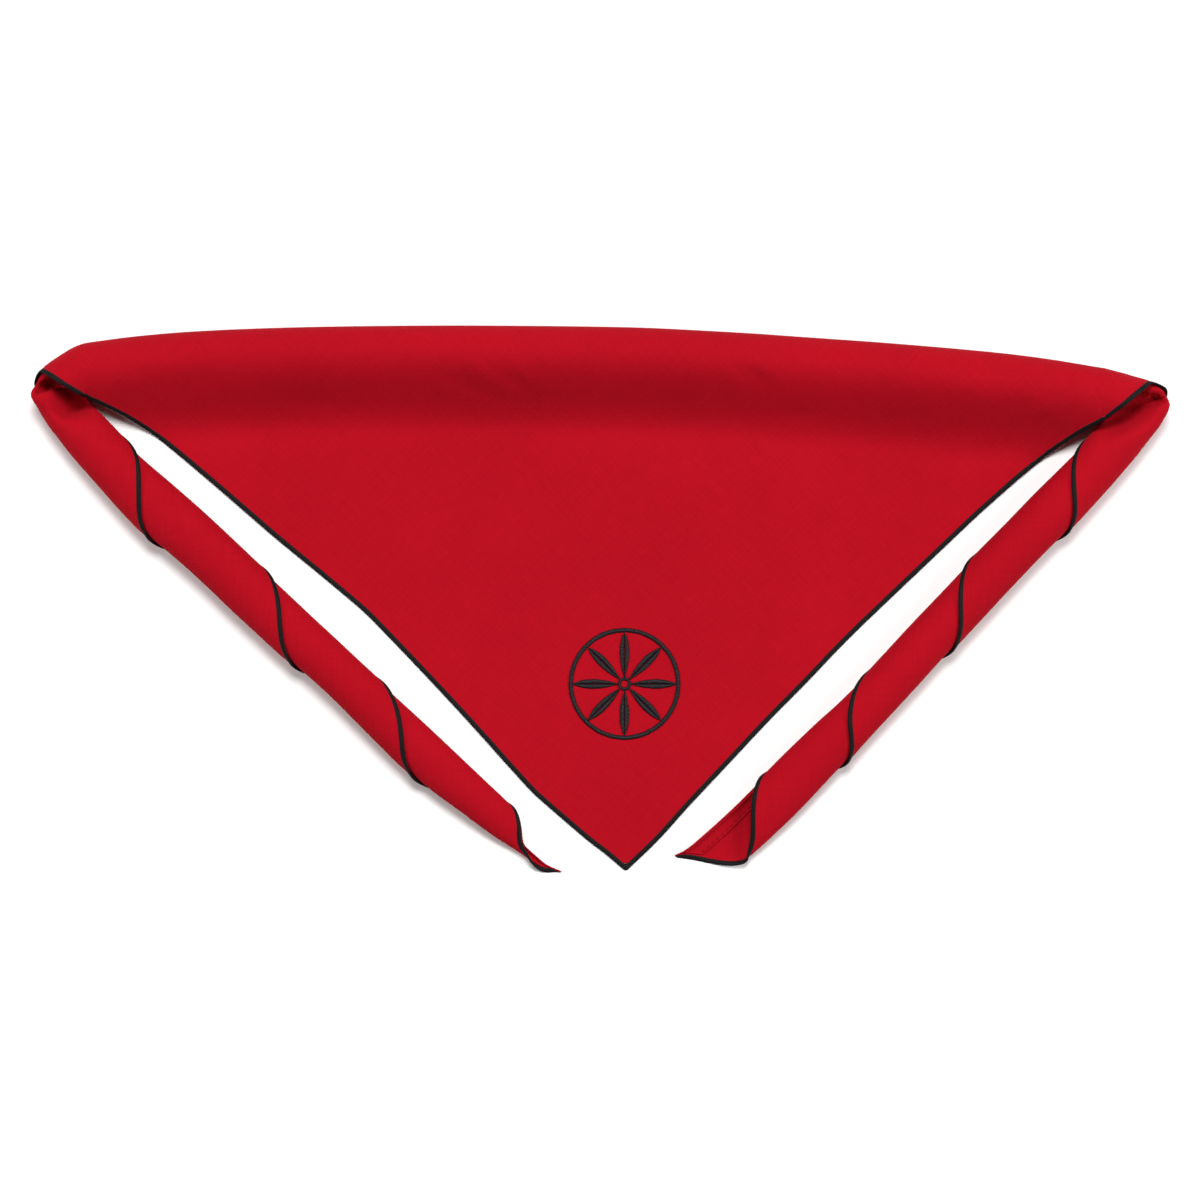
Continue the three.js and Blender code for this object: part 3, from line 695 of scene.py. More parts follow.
class Cloth:
    """The one piece of cloth, from tip to tip and from its long edge to the apex."""

    def __init__(self) -> None:
        """Lays out the rows and columns of the cloth."""
        self.neck = Neck()
        self.tails = {Corner.LEFT: Tail(LEFT_SHAPE), Corner.RIGHT: Tail(RIGHT_SHAPE)}
        self.legs = {corner: self.neck.leg_line(corner) for corner in Corner}
        self.creases = {corner: self.neck.crease_distance(corner) for corner in Corner}
        self.columns = self._columns()
        self.rows = self._rows()

    def _columns(self) -> np.ndarray:
        """Gives the places of the columns, from tip to tip: 0 to the neck's span is the neck.

        Returns:
            The places, in order.
        """
        count = round(SIZES.neck_span / SIZES.column_step)
        neck = np.linspace(0, SIZES.neck_span, count + 1)
        left = -self._tail_columns(self.tails[Corner.LEFT])[::-1]
        right = SIZES.neck_span + self._tail_columns(self.tails[Corner.RIGHT])
        return np.concatenate([left, neck, right])

    def _tail_columns(self, tail: Tail) -> np.ndarray:
        """Gives the columns of a corner's fold and its tail, as distances from the neck.

        Args:
            tail: The tail.

        Returns:
            The distances, in order.
        """
        fold = np.arange(SIZES.fold_step, tail.end - tail.shape.length, SIZES.fold_step)
        tip_start = tail.end - SIZES.tip_length
        middle = np.arange(tail.end - tail.shape.length, tip_start, SIZES.column_step)
        tip = np.arange(tip_start, tail.end, SIZES.tip_step)
        return np.concatenate([fold, middle, tip])

    def _rows(self) -> list[tuple[float, float]]:
        """Gives the rows as turns and distance from the crest, from the long edge to the apex.

        Returns:
            Turns and distance of each row.
        """
        half = np.concatenate(
            [
                np.linspace(0, 0.5, SIZES.lower_steps, endpoint=False),
                np.linspace(0.5, 1, SIZES.upper_steps, endpoint=False),
            ]
        )
        turns = [float(whole + part) for whole in range(math.ceil(SIZES.crest_turns)) for part in half]
        turns = [turn for turn in turns if turn < SIZES.crest_turns] + [SIZES.crest_turns]
        turns += [SIZES.shell_turns - before for before in SIZES.lip_rows]
        rows = [(turn, 0.0) for turn in sorted(set(turns))]
        marks = [float(leg[0, 1]) for leg in self.legs.values()] + list(self.creases.values())
        first, last, end = min(marks), max(marks), self._panel_end()
        near = np.arange(SIZES.crease_step, first - SIZES.crease_step / 2, SIZES.crease_step)
        fine = np.arange(last + SIZES.crease_step, last + SIZES.crease_run, SIZES.crease_step)
        far = np.arange(last + SIZES.crease_run, end - SIZES.panel_step / 2, SIZES.panel_step)
        distances = [*near, *sorted(marks), *fine, *far, end]
        return rows + [(SIZES.crest_turns, float(distance)) for distance in distances]

    def _panel_end(self) -> float:
        """Gives the distance from the crest at which the slanting edges have nearly met.

        Returns:
            The distance.
        """
        left, right = self.legs[Corner.LEFT], self.legs[Corner.RIGHT]
        distance = np.linspace(left[0, 1], left[-1, 1], SIZES.apex_places)
        width = np.interp(distance, right[:, 1], right[:, 0]) - np.interp(distance, left[:, 1], left[:, 0])
        return float(distance[width > SIZES.apex_width][-1])

    def row_end(self, corner: Corner, turns: float, distance: float) -> float:
        """Gives the column place at which a row meets the slanting edge.

        Args:
            corner: The side of the cloth.
            turns: The row's turns.
            distance: The row's distance from the crest.

        Returns:
            The place, counted as the columns are.
        """
        leg = self.legs[corner]
        tail = self.tails[corner]
        if distance >= leg[0, 1]:
            return float(np.interp(distance, leg[:, 1], leg[:, 0]))
        share = distance / self.creases[corner]
        wound = turns + share * (SIZES.mouth_turns - SIZES.crest_turns)
        beyond = tail.end - float(tail.edge_place(np.array([wound]))[0])
        return -beyond if corner is Corner.LEFT else SIZES.neck_span + beyond

    def points(self, places: np.ndarray, turns: float, distance: float, depth: float) -> np.ndarray:
        """Gives the cloth's points along a row, before its relief.

        Args:
            places: Places of the points along the row.
            turns: The row's turns.
            distance: The row's distance from the crest.
            depth: How far below the cloth's outer face the points lie.

        Returns:
            The points, measured from the left crease.
        """
        result = np.zeros((len(places), 3))
        for corner in Corner:
            tail = self.tails[corner]
            if corner is Corner.LEFT:
                chosen = places < 0
                along = tail.end + places[chosen]
            else:
                chosen = places > SIZES.neck_span
                along = tail.end - (places[chosen] - SIZES.neck_span)
            share = min(distance / self.creases[corner], 1.0)
            wound = turns + share * (SIZES.mouth_turns - SIZES.crest_turns)
            result[chosen] = tail.point(along, np.full(len(along), wound), depth)
        chosen = (places >= 0) & (places <= SIZES.neck_span)
        x = places[chosen]
        if distance > 0:
            result[chosen] = self.neck.panel(x, np.full(len(x), distance), depth)
        else:
            result[chosen] = self.neck.rolled(x, np.full(len(x), turns), depth)
        return result

    def surface(self, places: np.ndarray, turns: float, distance: float, depth: float) -> np.ndarray:
        """Gives the cloth's points along a row, with its relief."""
        return RELIEF.lift(self.points(places, turns, distance, depth), float(under_share(turns)))

    def row_nodes(self, turns: float, distance: float) -> np.ndarray:
        """Gives the places of a row's points, from one slanting edge to the other.

        Args:
            turns: The row's turns.
            distance: The row's distance from the crest.

        Returns:
            The places, in order.
        """
        start = self.row_end(Corner.LEFT, turns, distance)
        end = self.row_end(Corner.RIGHT, turns, distance)
        first = start + self._clear(Corner.LEFT, -start)
        last = end - self._clear(Corner.RIGHT, end - SIZES.neck_span)
        between = self.columns[(self.columns > first) & (self.columns < last)]
        return np.concatenate([[start], between, [end]])

    def _clear(self, corner: Corner, beyond: float) -> float:
        """Gives how far a row's end stays from the next column.

        Args:
            corner: The side of the cloth.
            beyond: How far beyond the neck the row ends.

        Returns:
            The distance.
        """
        tail = self.tails[corner]
        in_fold = 0 < beyond < tail.end - tail.shape.length
        return SIZES.clear_share * (SIZES.fold_step if in_fold else SIZES.column_step)

    def edge_frames(self, corner: Corner, depth: float) -> EdgeFrames:
        """Follows a slanting edge from its tip to the apex.

        Args:
            corner: The side of the cloth.
            depth: How far below the cloth's outer face the frames lie.

        Returns:
            The frames, one for each row.
        """
        inset = -corner.value * SIZES.frame_inset
        edge, inside = [], []
        for turns, distance in self.rows:
            end = self.row_end(corner, turns, distance)
            pair = self.surface(np.array([end, end + inset]), turns, distance, depth)
            edge.append(pair[0])
            inside.append(pair[1])
        centre = np.array(edge)
        along = unit(np.gradient(centre, axis=0))
        out = centre - np.array(inside)
        out = unit(out - along * np.sum(out * along, axis=-1, keepdims=True))
        normal = unit(np.cross(along, out)) * -corner.value
        return EdgeFrames(centre, out, normal, along)

    def build(self, fabric: bpy.types.Material) -> bpy.types.Object:
        """Makes the cloth as a closed sheet, and dresses it.

        Args:
            fabric: The cloth's material.

        Returns:
            The piece.
        """
        sheet = self.mesh_data().object_named("neckerchief_cloth")
        return dress(sheet, fabric, "cloth", "neck_roll", "back_panel", "left_tail", "right_tail")

    def mesh_data(self) -> MeshData:
        """Gives the closed sheet's mesh, with flat cloth coordinates in metres.

        Returns:
            The mesh.
        """
        rims = {
            corner: [self.edge_frames(corner, depth) for depth in (0.0, SIZES.thickness)] for corner in Corner
        }
        sides: tuple[list[np.ndarray], list[np.ndarray]] = ([], [])
        flat, rows = [], []
        for index, (turns, distance) in enumerate(self.rows):
            places = self.row_nodes(turns, distance)
            for side, depth in enumerate((0.0, SIZES.thickness)):
                ends = []
                for corner in Corner:
                    rim = rims[corner][side]
                    end = rim.centre[index] + rim.out[index] * SIZES.hidden_rim
                    end[2] = max(end[2], SIZES.table_gap)
                    ends.append(end)
                points = self.surface(places, turns, distance, depth)
                sides[side].append(np.vstack([ends[0], points, ends[1]]))
            ranks = np.concatenate([[places[0] - SIZES.hidden_rim], places, [places[-1] + SIZES.hidden_rim]])
            down = np.full(len(ranks), turns * SIZES.turn_length + distance)
            flat.append(np.column_stack([ranks, down]) / MILLIMETRES)
            rows.append(ranks)
        return MeshData(np.vstack(sides[0] + sides[1]), closed_faces(rows), np.vstack(flat + flat))


def closed_faces(rows: Sequence[np.ndarray]) -> list[tuple[int, ...]]:
    """Gives the faces of a closed sheet: its upper side, its underside and the walls round its rim.

    Args:
        rows: Places of each row's points on the upper side. The points are numbered row by row, and
            the underside's follow in the same order.

    Returns:
        The faces.
    """
    starts = [0, *(int(end) for end in np.cumsum([len(row) for row in rows]))]
    firsts, lasts, count = starts[:-1], [start - 1 for start in starts[1:]], starts[-1]
    top = []
    for k in range(len(rows) - 1):
        top += zipped_faces(rows[k], rows[k + 1], firsts[k], firsts[k + 1])
    under = [tuple(corner + count for corner in reversed(face)) for face in top]
    first_row, last_row = range(starts[0], starts[1]), range(starts[-2], count)
    rim = [*first_row, *lasts[1:-1], *reversed(last_row), *firsts[-2:0:-1]]
    walls = [(here, here + count, after + count, after) for here, after in zip(rim, rim[1:] + rim[:1])]
    return top + under + walls


def zipped_faces(lower: np.ndarray, upper: np.ndarray, low: int, high: int) -> list[tuple[int, ...]]:
    """Joins two rows of points, which may start and end at different places.

    Args:
        lower: Places of the first row's points.
        upper: Places of the second row's points.
        low: Number of the first row's first point.
        high: Number of the second row's first point.

    Returns:
        Faces between the rows: four-sided where both rows have the same columns.
    """
    faces: list[tuple[int, ...]] = [(low, high, high + 1, low + 1)]
    last_low, last_high = len(lower) - 2, len(upper) - 2
    i = j = 1
    while i < last_low or j < last_high:
        both = i < last_low and j < last_high
        if both and same_column(lower, upper, i, j):
            faces.append((low + i, high + j, high + j + 1, low + i + 1))
            i += 1
            j += 1
        elif j >= last_high or (both and lower[i + 1] <= upper[j + 1]):
            faces.append((low + i, high + j, low + i + 1))
            i += 1
        else:
            faces.append((low + i, high + j, high + j + 1))
            j += 1
    faces.append((low + i, high + j, high + j + 1, low + i + 1))
    return faces


def same_column(lower: np.ndarray, upper: np.ndarray, i: int, j: int) -> bool:
    """Tells whether both rows go from one column to the same next one."""
    return max(abs(lower[i] - upper[j]), abs(lower[i + 1] - upper[j + 1])) < SAME_PLACE


# Materials
def linear_colour(code: str) -> tuple[float, float, float, float]:
    """Turns an sRGB hex colour into linear values.

    Args:
        code: The colour, as # and six hex digits.

    Returns:
        Red, green, blue and an alpha of 1.
    """
    channels = [int(code[i:i + 2], 16) / 255 for i in (1, 3, 5)]
    linear = [c / 12.92 if c <= 0.04045 else ((c + 0.055) / 1.055) ** 2.4 for c in channels]
    return (linear[0], linear[1], linear[2], 1.0)


def add_node(
    tree: bpy.types.NodeTree, kind: str, inputs: dict[str | int, object] | None = None, **settings: object
) -> bpy.types.Node:
    """Adds a node with its settings and links.

    Args:
        tree: The node tree.
        kind: The node's type name.
        inputs: For each input's name or number, a value or the output that links to it.
        **settings: Properties of the node.

    Returns:
        The node.
    """
    node = tree.nodes.new(kind)
    for name, value in settings.items():
        setattr(node, name, value)
    for name, value in (inputs or {}).items():
        if isinstance(value, bpy.types.NodeSocket):
            tree.links.new(value, node.inputs[name])
        else:
            node.inputs[name].default_value = value
    return node


def new_material(name: str) -> tuple[bpy.types.Material, bpy.types.NodeTree, bpy.types.Node]:
    """Makes a node material, and gives it with its tree and its main shader.

    Args:
        name: The material's name.

    Returns:
        The material, its node tree and its main shader.
    """
    material = bpy.data.materials.new(name)
    material.use_nodes = True
    return material, material.node_tree, material.node_tree.nodes["Principled BSDF"]


@dataclass(frozen=True)
class PlainWeaveCotton:
    """Plain-woven poly-cotton, dyed in the piece: matt, with a faint bloom of short fibres."""

    lit: str = "#A6091A"
    deep: str = "#9B0717"
    bloom: str = "#FFB8C0"
    thread_spacing: float = 0.4  # the real threads are finer, and are drawn as coarse as they need to show
    slub_width: float = 0.9
    slub_length: float = 14.0
    slub_height: float = 0.6  # as a share of the weave's
    weave_height: float = 0.05
    relief: float = 0.6
    dye_patch: float = 60.0
    deep_below: float = 1.1  # sum of the noises up to which the cloth is deep in colour
    lit_above: float = 1.9
    roughness: float = 0.9
    specular: float = 0.06
    sheen: float = 0.03
    sheen_roughness: float = 0.35

    def material(self) -> bpy.types.Material:
        """Makes the material, with its threads along and across the slanting edges.

        Returns:
            The material.
        """
        material, tree, shader = new_material("plain_weave_cotton")
        flat = add_node(tree, "ShaderNodeUVMap", uv_map="cloth").outputs[0]
        turn = {"Vector": flat, "Rotation": (0, 0, math.pi / 4)}
        turned = add_node(tree, "ShaderNodeMapping", turn).outputs[0]
        axes = add_node(tree, "ShaderNodeSeparateXYZ", {0: turned}).outputs
        rate = math.pi * MILLIMETRES / self.thread_spacing
        waves, slubs = {}, {}
        thread = (self.slub_width, self.slub_length)
        for axis, (width, length) in enumerate((thread, thread[::-1])):
            phase = add_node(tree, "ShaderNodeMath", {0: axes[axis], 1: rate}, operation="MULTIPLY")
            wave = add_node(tree, "ShaderNodeMath", {0: phase.outputs[0]}, operation="SINE")
            waves[axis] = wave.outputs[0]
            stretch = {"Vector": turned, "Scale": (MILLIMETRES / width, MILLIMETRES / length, 1)}
            stretched = add_node(tree, "ShaderNodeMapping", stretch).outputs[0]
            slub = add_node(tree, "ShaderNodeTexNoise", {"Vector": stretched, "Scale": 1.0, "Detail": 2.0})
            slubs[axis] = slub.outputs[0]
        weave = add_node(tree, "ShaderNodeMath", waves, operation="MULTIPLY").outputs[0]
        slub = add_node(tree, "ShaderNodeMath", slubs, operation="ADD").outputs[0]
        patches = {"Vector": flat, "Scale": MILLIMETRES / self.dye_patch, "Detail": 3.0}
        dyed = add_node(tree, "ShaderNodeTexNoise", patches).outputs[0]
        shade = add_node(tree, "ShaderNodeMath", {0: slub, 1: dyed}, operation="ADD").outputs[0]
        shades = {"Value": shade, "From Min": self.deep_below, "From Max": self.lit_above}
        share = add_node(tree, "ShaderNodeMapRange", shades).outputs[0]
        colours = {0: share, 6: linear_colour(self.deep), 7: linear_colour(self.lit)}
        mix = add_node(tree, "ShaderNodeMix", colours, data_type="RGBA")
        tree.links.new(mix.outputs[2], shader.inputs["Base Color"])
        heights = {0: slub, 1: self.slub_height, 2: weave}
        height = add_node(tree, "ShaderNodeMath", heights, operation="MULTIPLY_ADD").outputs[0]
        raised = {"Height": height, "Distance": self.weave_height / MILLIMETRES, "Strength": self.relief}
        bump = add_node(tree, "ShaderNodeBump", raised)
        tree.links.new(bump.outputs[0], shader.inputs["Normal"])
        shader.inputs["Roughness"].default_value = self.roughness
        shader.inputs["Specular IOR Level"].default_value = self.specular
        shader.inputs["Sheen Weight"].default_value = self.sheen
        shader.inputs["Sheen Roughness"].default_value = self.sheen_roughness
        shader.inputs["Sheen Tint"].default_value = linear_colour(self.bloom)
        return material


@dataclass(frozen=True)
class SpunThread:
    """Twisted sewing or embroidery thread: fine fibres that catch the light along their length."""

    name: str
    colour: str
    light: str
    roughness: float
    specular: float
    mottle: float = 1.4
    fibre: float = 0.24  # real fibres are finer, and are drawn as coarse as they need to show
    fibre_height: float = 0.04
    relief: float = 0.5

    def material(self) -> bpy.types.Material:
        """Makes the thread's material.

        Returns:
            The material.
        """
        material, tree, shader = new_material(self.name)
        place = add_node(tree, "ShaderNodeTexCoord").outputs["Object"]
        mottles = {"Vector": place, "Scale": MILLIMETRES / self.mottle, "Detail": 3.0}
        share = add_node(tree, "ShaderNodeTexNoise", mottles).outputs[0]
        colours = {0: share, 6: linear_colour(self.colour), 7: linear_colour(self.light)}
        mix = add_node(tree, "ShaderNodeMix", colours, data_type="RGBA")
        tree.links.new(mix.outputs[2], shader.inputs["Base Color"])
        fibres = {"Vector": place, "Scale": MILLIMETRES / self.fibre, "Detail": 1.0}
        height = add_node(tree, "ShaderNodeTexNoise", fibres).outputs[0]
        raised = {"Height": height, "Distance": self.fibre_height / MILLIMETRES, "Strength": self.relief}
        bump = add_node(tree, "ShaderNodeBump", raised)
        tree.links.new(bump.outputs[0], shader.inputs["Normal"])
        shader.inputs["Roughness"].default_value = self.roughness
        shader.inputs["Specular IOR Level"].default_value = self.specular
        return material


OVERLOCK_THREAD = SpunThread("overlock_thread", "#0E0C0D", "#191617", 0.6, 0.1)
RAYON_THREAD = SpunThread("rayon_thread", "#161416", "#221F23", 0.4, 0.2)
HEM_THREAD = SpunThread("hem_thread", "#5A0710", "#820A18", 0.7, 0.08)


# Edging
def averaged(values: np.ndarray, reach: int) -> np.ndarray:
    """Averages each row with as many rows on both sides, the nearest ones most.

    Args:
        values: The rows.
        reach: How many rows on each side count.

    Returns:
        As many rows, averaged.
    """
    weights = np.hanning(2 * reach + 3)[1:-1]
    padded = np.pad(values, ((reach, reach), (0, 0)), mode="edge")
    columns = [np.convolve(column, weights / weights.sum(), mode="valid") for column in padded.T]
    return np.stack(columns, axis=1)


def follow(frames: EdgeFrames, step: float, soft: float) -> EdgeFrames:
    """Gives frames at even steps along a curve that eases through the given ones.

    Args:
        frames: The frames to follow.
        step: Distance from one new frame to the next.
        soft: Length over which corners of the path are rounded.

    Returns:
        The new frames.
    """
    points = frames.centre
    spans = np.linalg.norm(np.diff(points, axis=0), axis=1)
    keep = np.concatenate([[True], spans > SAME_PLACE])
    points, out, normal = points[keep], frames.out[keep], frames.normal[keep]
    length = np.concatenate([[0], np.cumsum(np.linalg.norm(np.diff(points, axis=0), axis=1))])
    at = np.arange(0, length[-1], step)
    i = np.clip(np.searchsorted(length, at, side="right") - 1, 0, len(length) - 2)
    width = length[i + 1] - length[i]
    t = ((at - length[i]) / width)[:, None]
    tangents = np.gradient(points, length, axis=0)
    centre = eased(points[i], points[i + 1], (tangents[i], tangents[i + 1]), width[:, None], t)
    reach = round(soft / 2 / step)
    centre = averaged(centre, reach)
    along = unit(np.gradient(centre, axis=0))
    sideways = averaged(out[i] * (1 - t) + out[i + 1] * t, reach)
    sideways = unit(sideways - along * np.sum(sideways * along, axis=-1, keepdims=True))
    upward = averaged(normal[i] * (1 - t) + normal[i + 1] * t, reach)
    upward = upward - along * np.sum(upward * along, axis=-1, keepdims=True)
    upward = unit(upward - sideways * np.sum(upward * sideways, axis=-1, keepdims=True))
    return EdgeFrames(centre, sideways, upward, along)


@dataclass(frozen=True)
class Overlock:
    """The overlocked thread that wraps a slanting edge of the cloth."""

    corner: Corner
    width: float = 2.5
    thickness: float = 1.1
    past_edge: float = 1.5  # from the cloth's edge to the middle of the edging
    past_apex: float = 3.7
    soft: float = 6.0
    thread_pitch: float = 0.8
    thread_height: float = 0.09
    rings_per_thread: int = 4
    sides: int = 10
    blunt: float = 0.02  # how wide its ends are, as a share of its width squared

    def build(self, cloth: Cloth) -> bpy.types.Object:
        """Makes the edging along the cloth's slanting edge.

        Args:
            cloth: The cloth that it wraps.

        Returns:
            The piece.
        """
        frames = cloth.edge_frames(self.corner, SIZES.thickness / 2)
        middle = frames.centre + frames.out * self.past_edge
        beyond = middle[-1] + frames.along[-1] * self.past_apex
        middle = np.vstack([middle, beyond])
        middle[:, 2] = np.maximum(middle[:, 2], self.thickness / 2)
        ring_step = self.thread_pitch / self.rings_per_thread
        out, normal, along = (
            np.vstack([rows, rows[-1]]) for rows in (frames.out, frames.normal, frames.along)
        )
        path = follow(EdgeFrames(middle, out, normal, along), ring_step, self.soft)
        count = len(path.centre)
        angle = np.linspace(0, 2 * math.pi, self.sides, endpoint=False)
        ring = np.arange(count)
        twist = 2 * math.pi * ring[:, None] / self.rings_per_thread + self.corner.value * angle[None, :]
        ends = np.minimum(ring, count - 1 - ring) * ring_step
        taper = np.sqrt(np.clip(ends / (self.width / 2), self.blunt, 1))
        swell = self.thread_height * np.cos(twist)
        across = (self.width / 2 * taper[:, None] + swell) * np.cos(angle)
        upward = (self.thickness / 2 * taper[:, None] + swell) * np.sin(angle)
        points = (
            path.centre[:, None, :]
            + path.out[:, None, :] * across[:, :, None]
            + path.normal[:, None, :] * upward[:, :, None]
        ).reshape(-1, 3)
        points[:, 2] = np.maximum(points[:, 2], 0.0)
        faces = tube_faces(count, self.sides, self.corner is Corner.LEFT)
        name = f"{self.corner.name.lower()}_overlocked_edge"
        piece = MeshData(points, faces).object_named(name)
        node = f"{self.corner.name.lower()}_edging"
        return dress(piece, OVERLOCK_THREAD.material(), "edging_thread", node)


def tube_faces(rings: int, sides: int, flip: bool) -> list[tuple[int, ...]]:
    """Gives the faces of a closed tube whose rings are numbered one after another.

    Args:
        rings: How many rings it has.
        sides: How many points each ring has.
        flip: Whether its rings run the other way round.

    Returns:
        The faces, with those at both ends.
    """
    faces: list[tuple[int, ...]] = []
    last = (rings - 1) * sides
    for start in range(0, last, sides):
        for side in range(sides):
            here, after = start + side, start + (side + 1) % sides
            faces.append((here, after, after + sides, here + sides))
    faces.append(tuple(range(sides))[::-1])
    faces.append(tuple(last + side for side in range(sides)))
    return [face[::-1] for face in faces] if flip else faces


# Needlework
@dataclass(frozen=True)
class Needle:
    """Stitches of one thread, each a slim arch with its ends drawn into the cloth."""

    width: float
    thickness: float
    rise: float
    bury: float = 0.35
    rings: int = 8
    sides: int = 6
    arch_fullness: float = 0.45  # the lower, the flatter the top of the arch
    end_fullness: float = 0.25  # the lower, the blunter its ends
    pointed: float = 0.02

    def stitches(self, start: np.ndarray, end: np.ndarray, up: np.ndarray) -> MeshData:
        """Makes stitches between given points of the cloth's surface.

        Args:
            start: First end of each stitch.
            end: Second end of each.
            up: The cloth's unit normal at each.

        Returns:
            The mesh of all of them.
        """
        count = len(start)
        t = np.linspace(0, 1, self.rings)
        arch = np.clip(np.sin(math.pi * t), 0, 1) ** self.arch_fullness * (self.rise + self.bury) - self.bury
        line = start[:, None, :] + (end - start)[:, None, :] * t[None, :, None]
        line = line + up[:, None, :] * arch[None, :, None]
        along = unit(end - start)
        across = unit(np.cross(up, along))
        angle = np.linspace(0, 2 * math.pi, self.sides, endpoint=False)
        slim = np.clip(np.sin(math.pi * t), self.pointed, 1) ** self.end_fullness
        side = across[:, None, None, :] * (np.cos(angle) * self.width / 2)[None, None, :, None]
        high = up[:, None, None, :] * (np.sin(angle) * self.thickness / 2)[None, None, :, None]
        points = line[:, :, None, :] + (side + high) * slim[None, :, None, None]
        ring_faces = tube_faces(self.rings, self.sides, True)
        each = self.rings * self.sides
        faces = [tuple(corner + i * each for corner in face) for i in range(count) for face in ring_faces]
        return MeshData(points.reshape(-1, 3), faces)


@dataclass(frozen=True)
class Rosette:
    """An eight-petalled rosette in satin stitch, on the panel above its apex."""

    diameter: float = 52.0
    line: float = 2.4
    eye: float = 6.5
    eye_line: float = 1.7
    petal_width: float = 8.57
    petals: int = 8
    petal_end: float = 0.2  # from the last stitch of a petal to the ring
    petal_overhang: float = 0.25  # how far each stitch goes past the petal's outline
    vein: float = 0.12  # from the petal's middle line to the stitches on each side
    rise_from_apex: float = 85.0
    stitch_spacing: float = 0.4
    slant: float = 1.4  # how far out along the petal a stitch runs from its vein
    lean: float = 0.02  # radians that a ring's stitches lean
    unevenness: float = 0.08
    seed: int = 8
    needle: Needle = Needle(width=0.55, thickness=0.4, rise=0.75)

    def build(self) -> bpy.types.Object:
        """Makes the rosette from single stitches.

        Returns:
            The piece.
        """
        centre = np.array([SIZES.apex_across, -SIZES.panel_depth + self.rise_from_apex])
        petals = self._petals()
        count = len(petals[0]) + len(self._rings(0))
        uneven = np.random.default_rng(self.seed).normal(0, self.unevenness, (2, count, 2))
        ends = []
        for which in (0, 1):
            flat = np.vstack([self._rings(which), petals[which]]) + uneven[which] + centre
            ends.append(RELIEF.lift(np.column_stack([flat, np.full(count, SIZES.panel_top)])))
        up = np.tile([0.0, 0.0, 1.0], (count, 1))
        piece = self.needle.stitches(ends[0], ends[1], up).object_named("rosette_stitches")
        return dress(piece, RAYON_THREAD.material(), "embroidery_thread", "embroidered_rosette")

    def _rings(self, which: int) -> np.ndarray:
        """Gives the inner or the outer ends of the stitches of both rings.

        Args:
            which: 0 for the inner ends, 1 for the outer ones.

        Returns:
            The ends, from the rosette's middle.
        """
        rings = []
        for diameter, line in ((self.diameter, self.line), (self.eye, self.eye_line)):
            count = round(math.pi * (diameter - line) / self.stitch_spacing)
            angle = np.linspace(0, 2 * math.pi, count, endpoint=False) + which * self.lean
            radius = diameter / 2 - line * (1 - which)
            rings.append(np.stack([np.cos(angle), np.sin(angle)], axis=-1) * radius)
        return np.vstack(rings)

    def _petals(self) -> tuple[np.ndarray, np.ndarray]:
        """Gives the ends of the petals' stitches, which slant out from a vein on both sides.

        Returns:
            The ends at the vein and those at the rim, from the rosette's middle.
        """
        root = self.eye / 2
        tip = self.diameter / 2 - self.line
        along = np.arange(root, tip - self.petal_end, self.stitch_spacing)
        share = (along - root) / (tip - root)
        half = self.petal_width * share * (1 - share)
        starts, ends = [], []
        for petal in range(self.petals):
            turn = 2 * math.pi * petal / self.petals
            axis = np.array([math.cos(turn), math.sin(turn)])
            cross = np.array([-axis[1], axis[0]])
            for side in (-1, 1):
                rim = np.minimum(along + self.slant * half / half.max(), tip)[:, None] * axis
                starts.append(along[:, None] * axis - cross * self.vein * side)
                ends.append(rim + cross * (side * (half + self.petal_overhang))[:, None])
        return np.vstack(starts), np.vstack(ends)


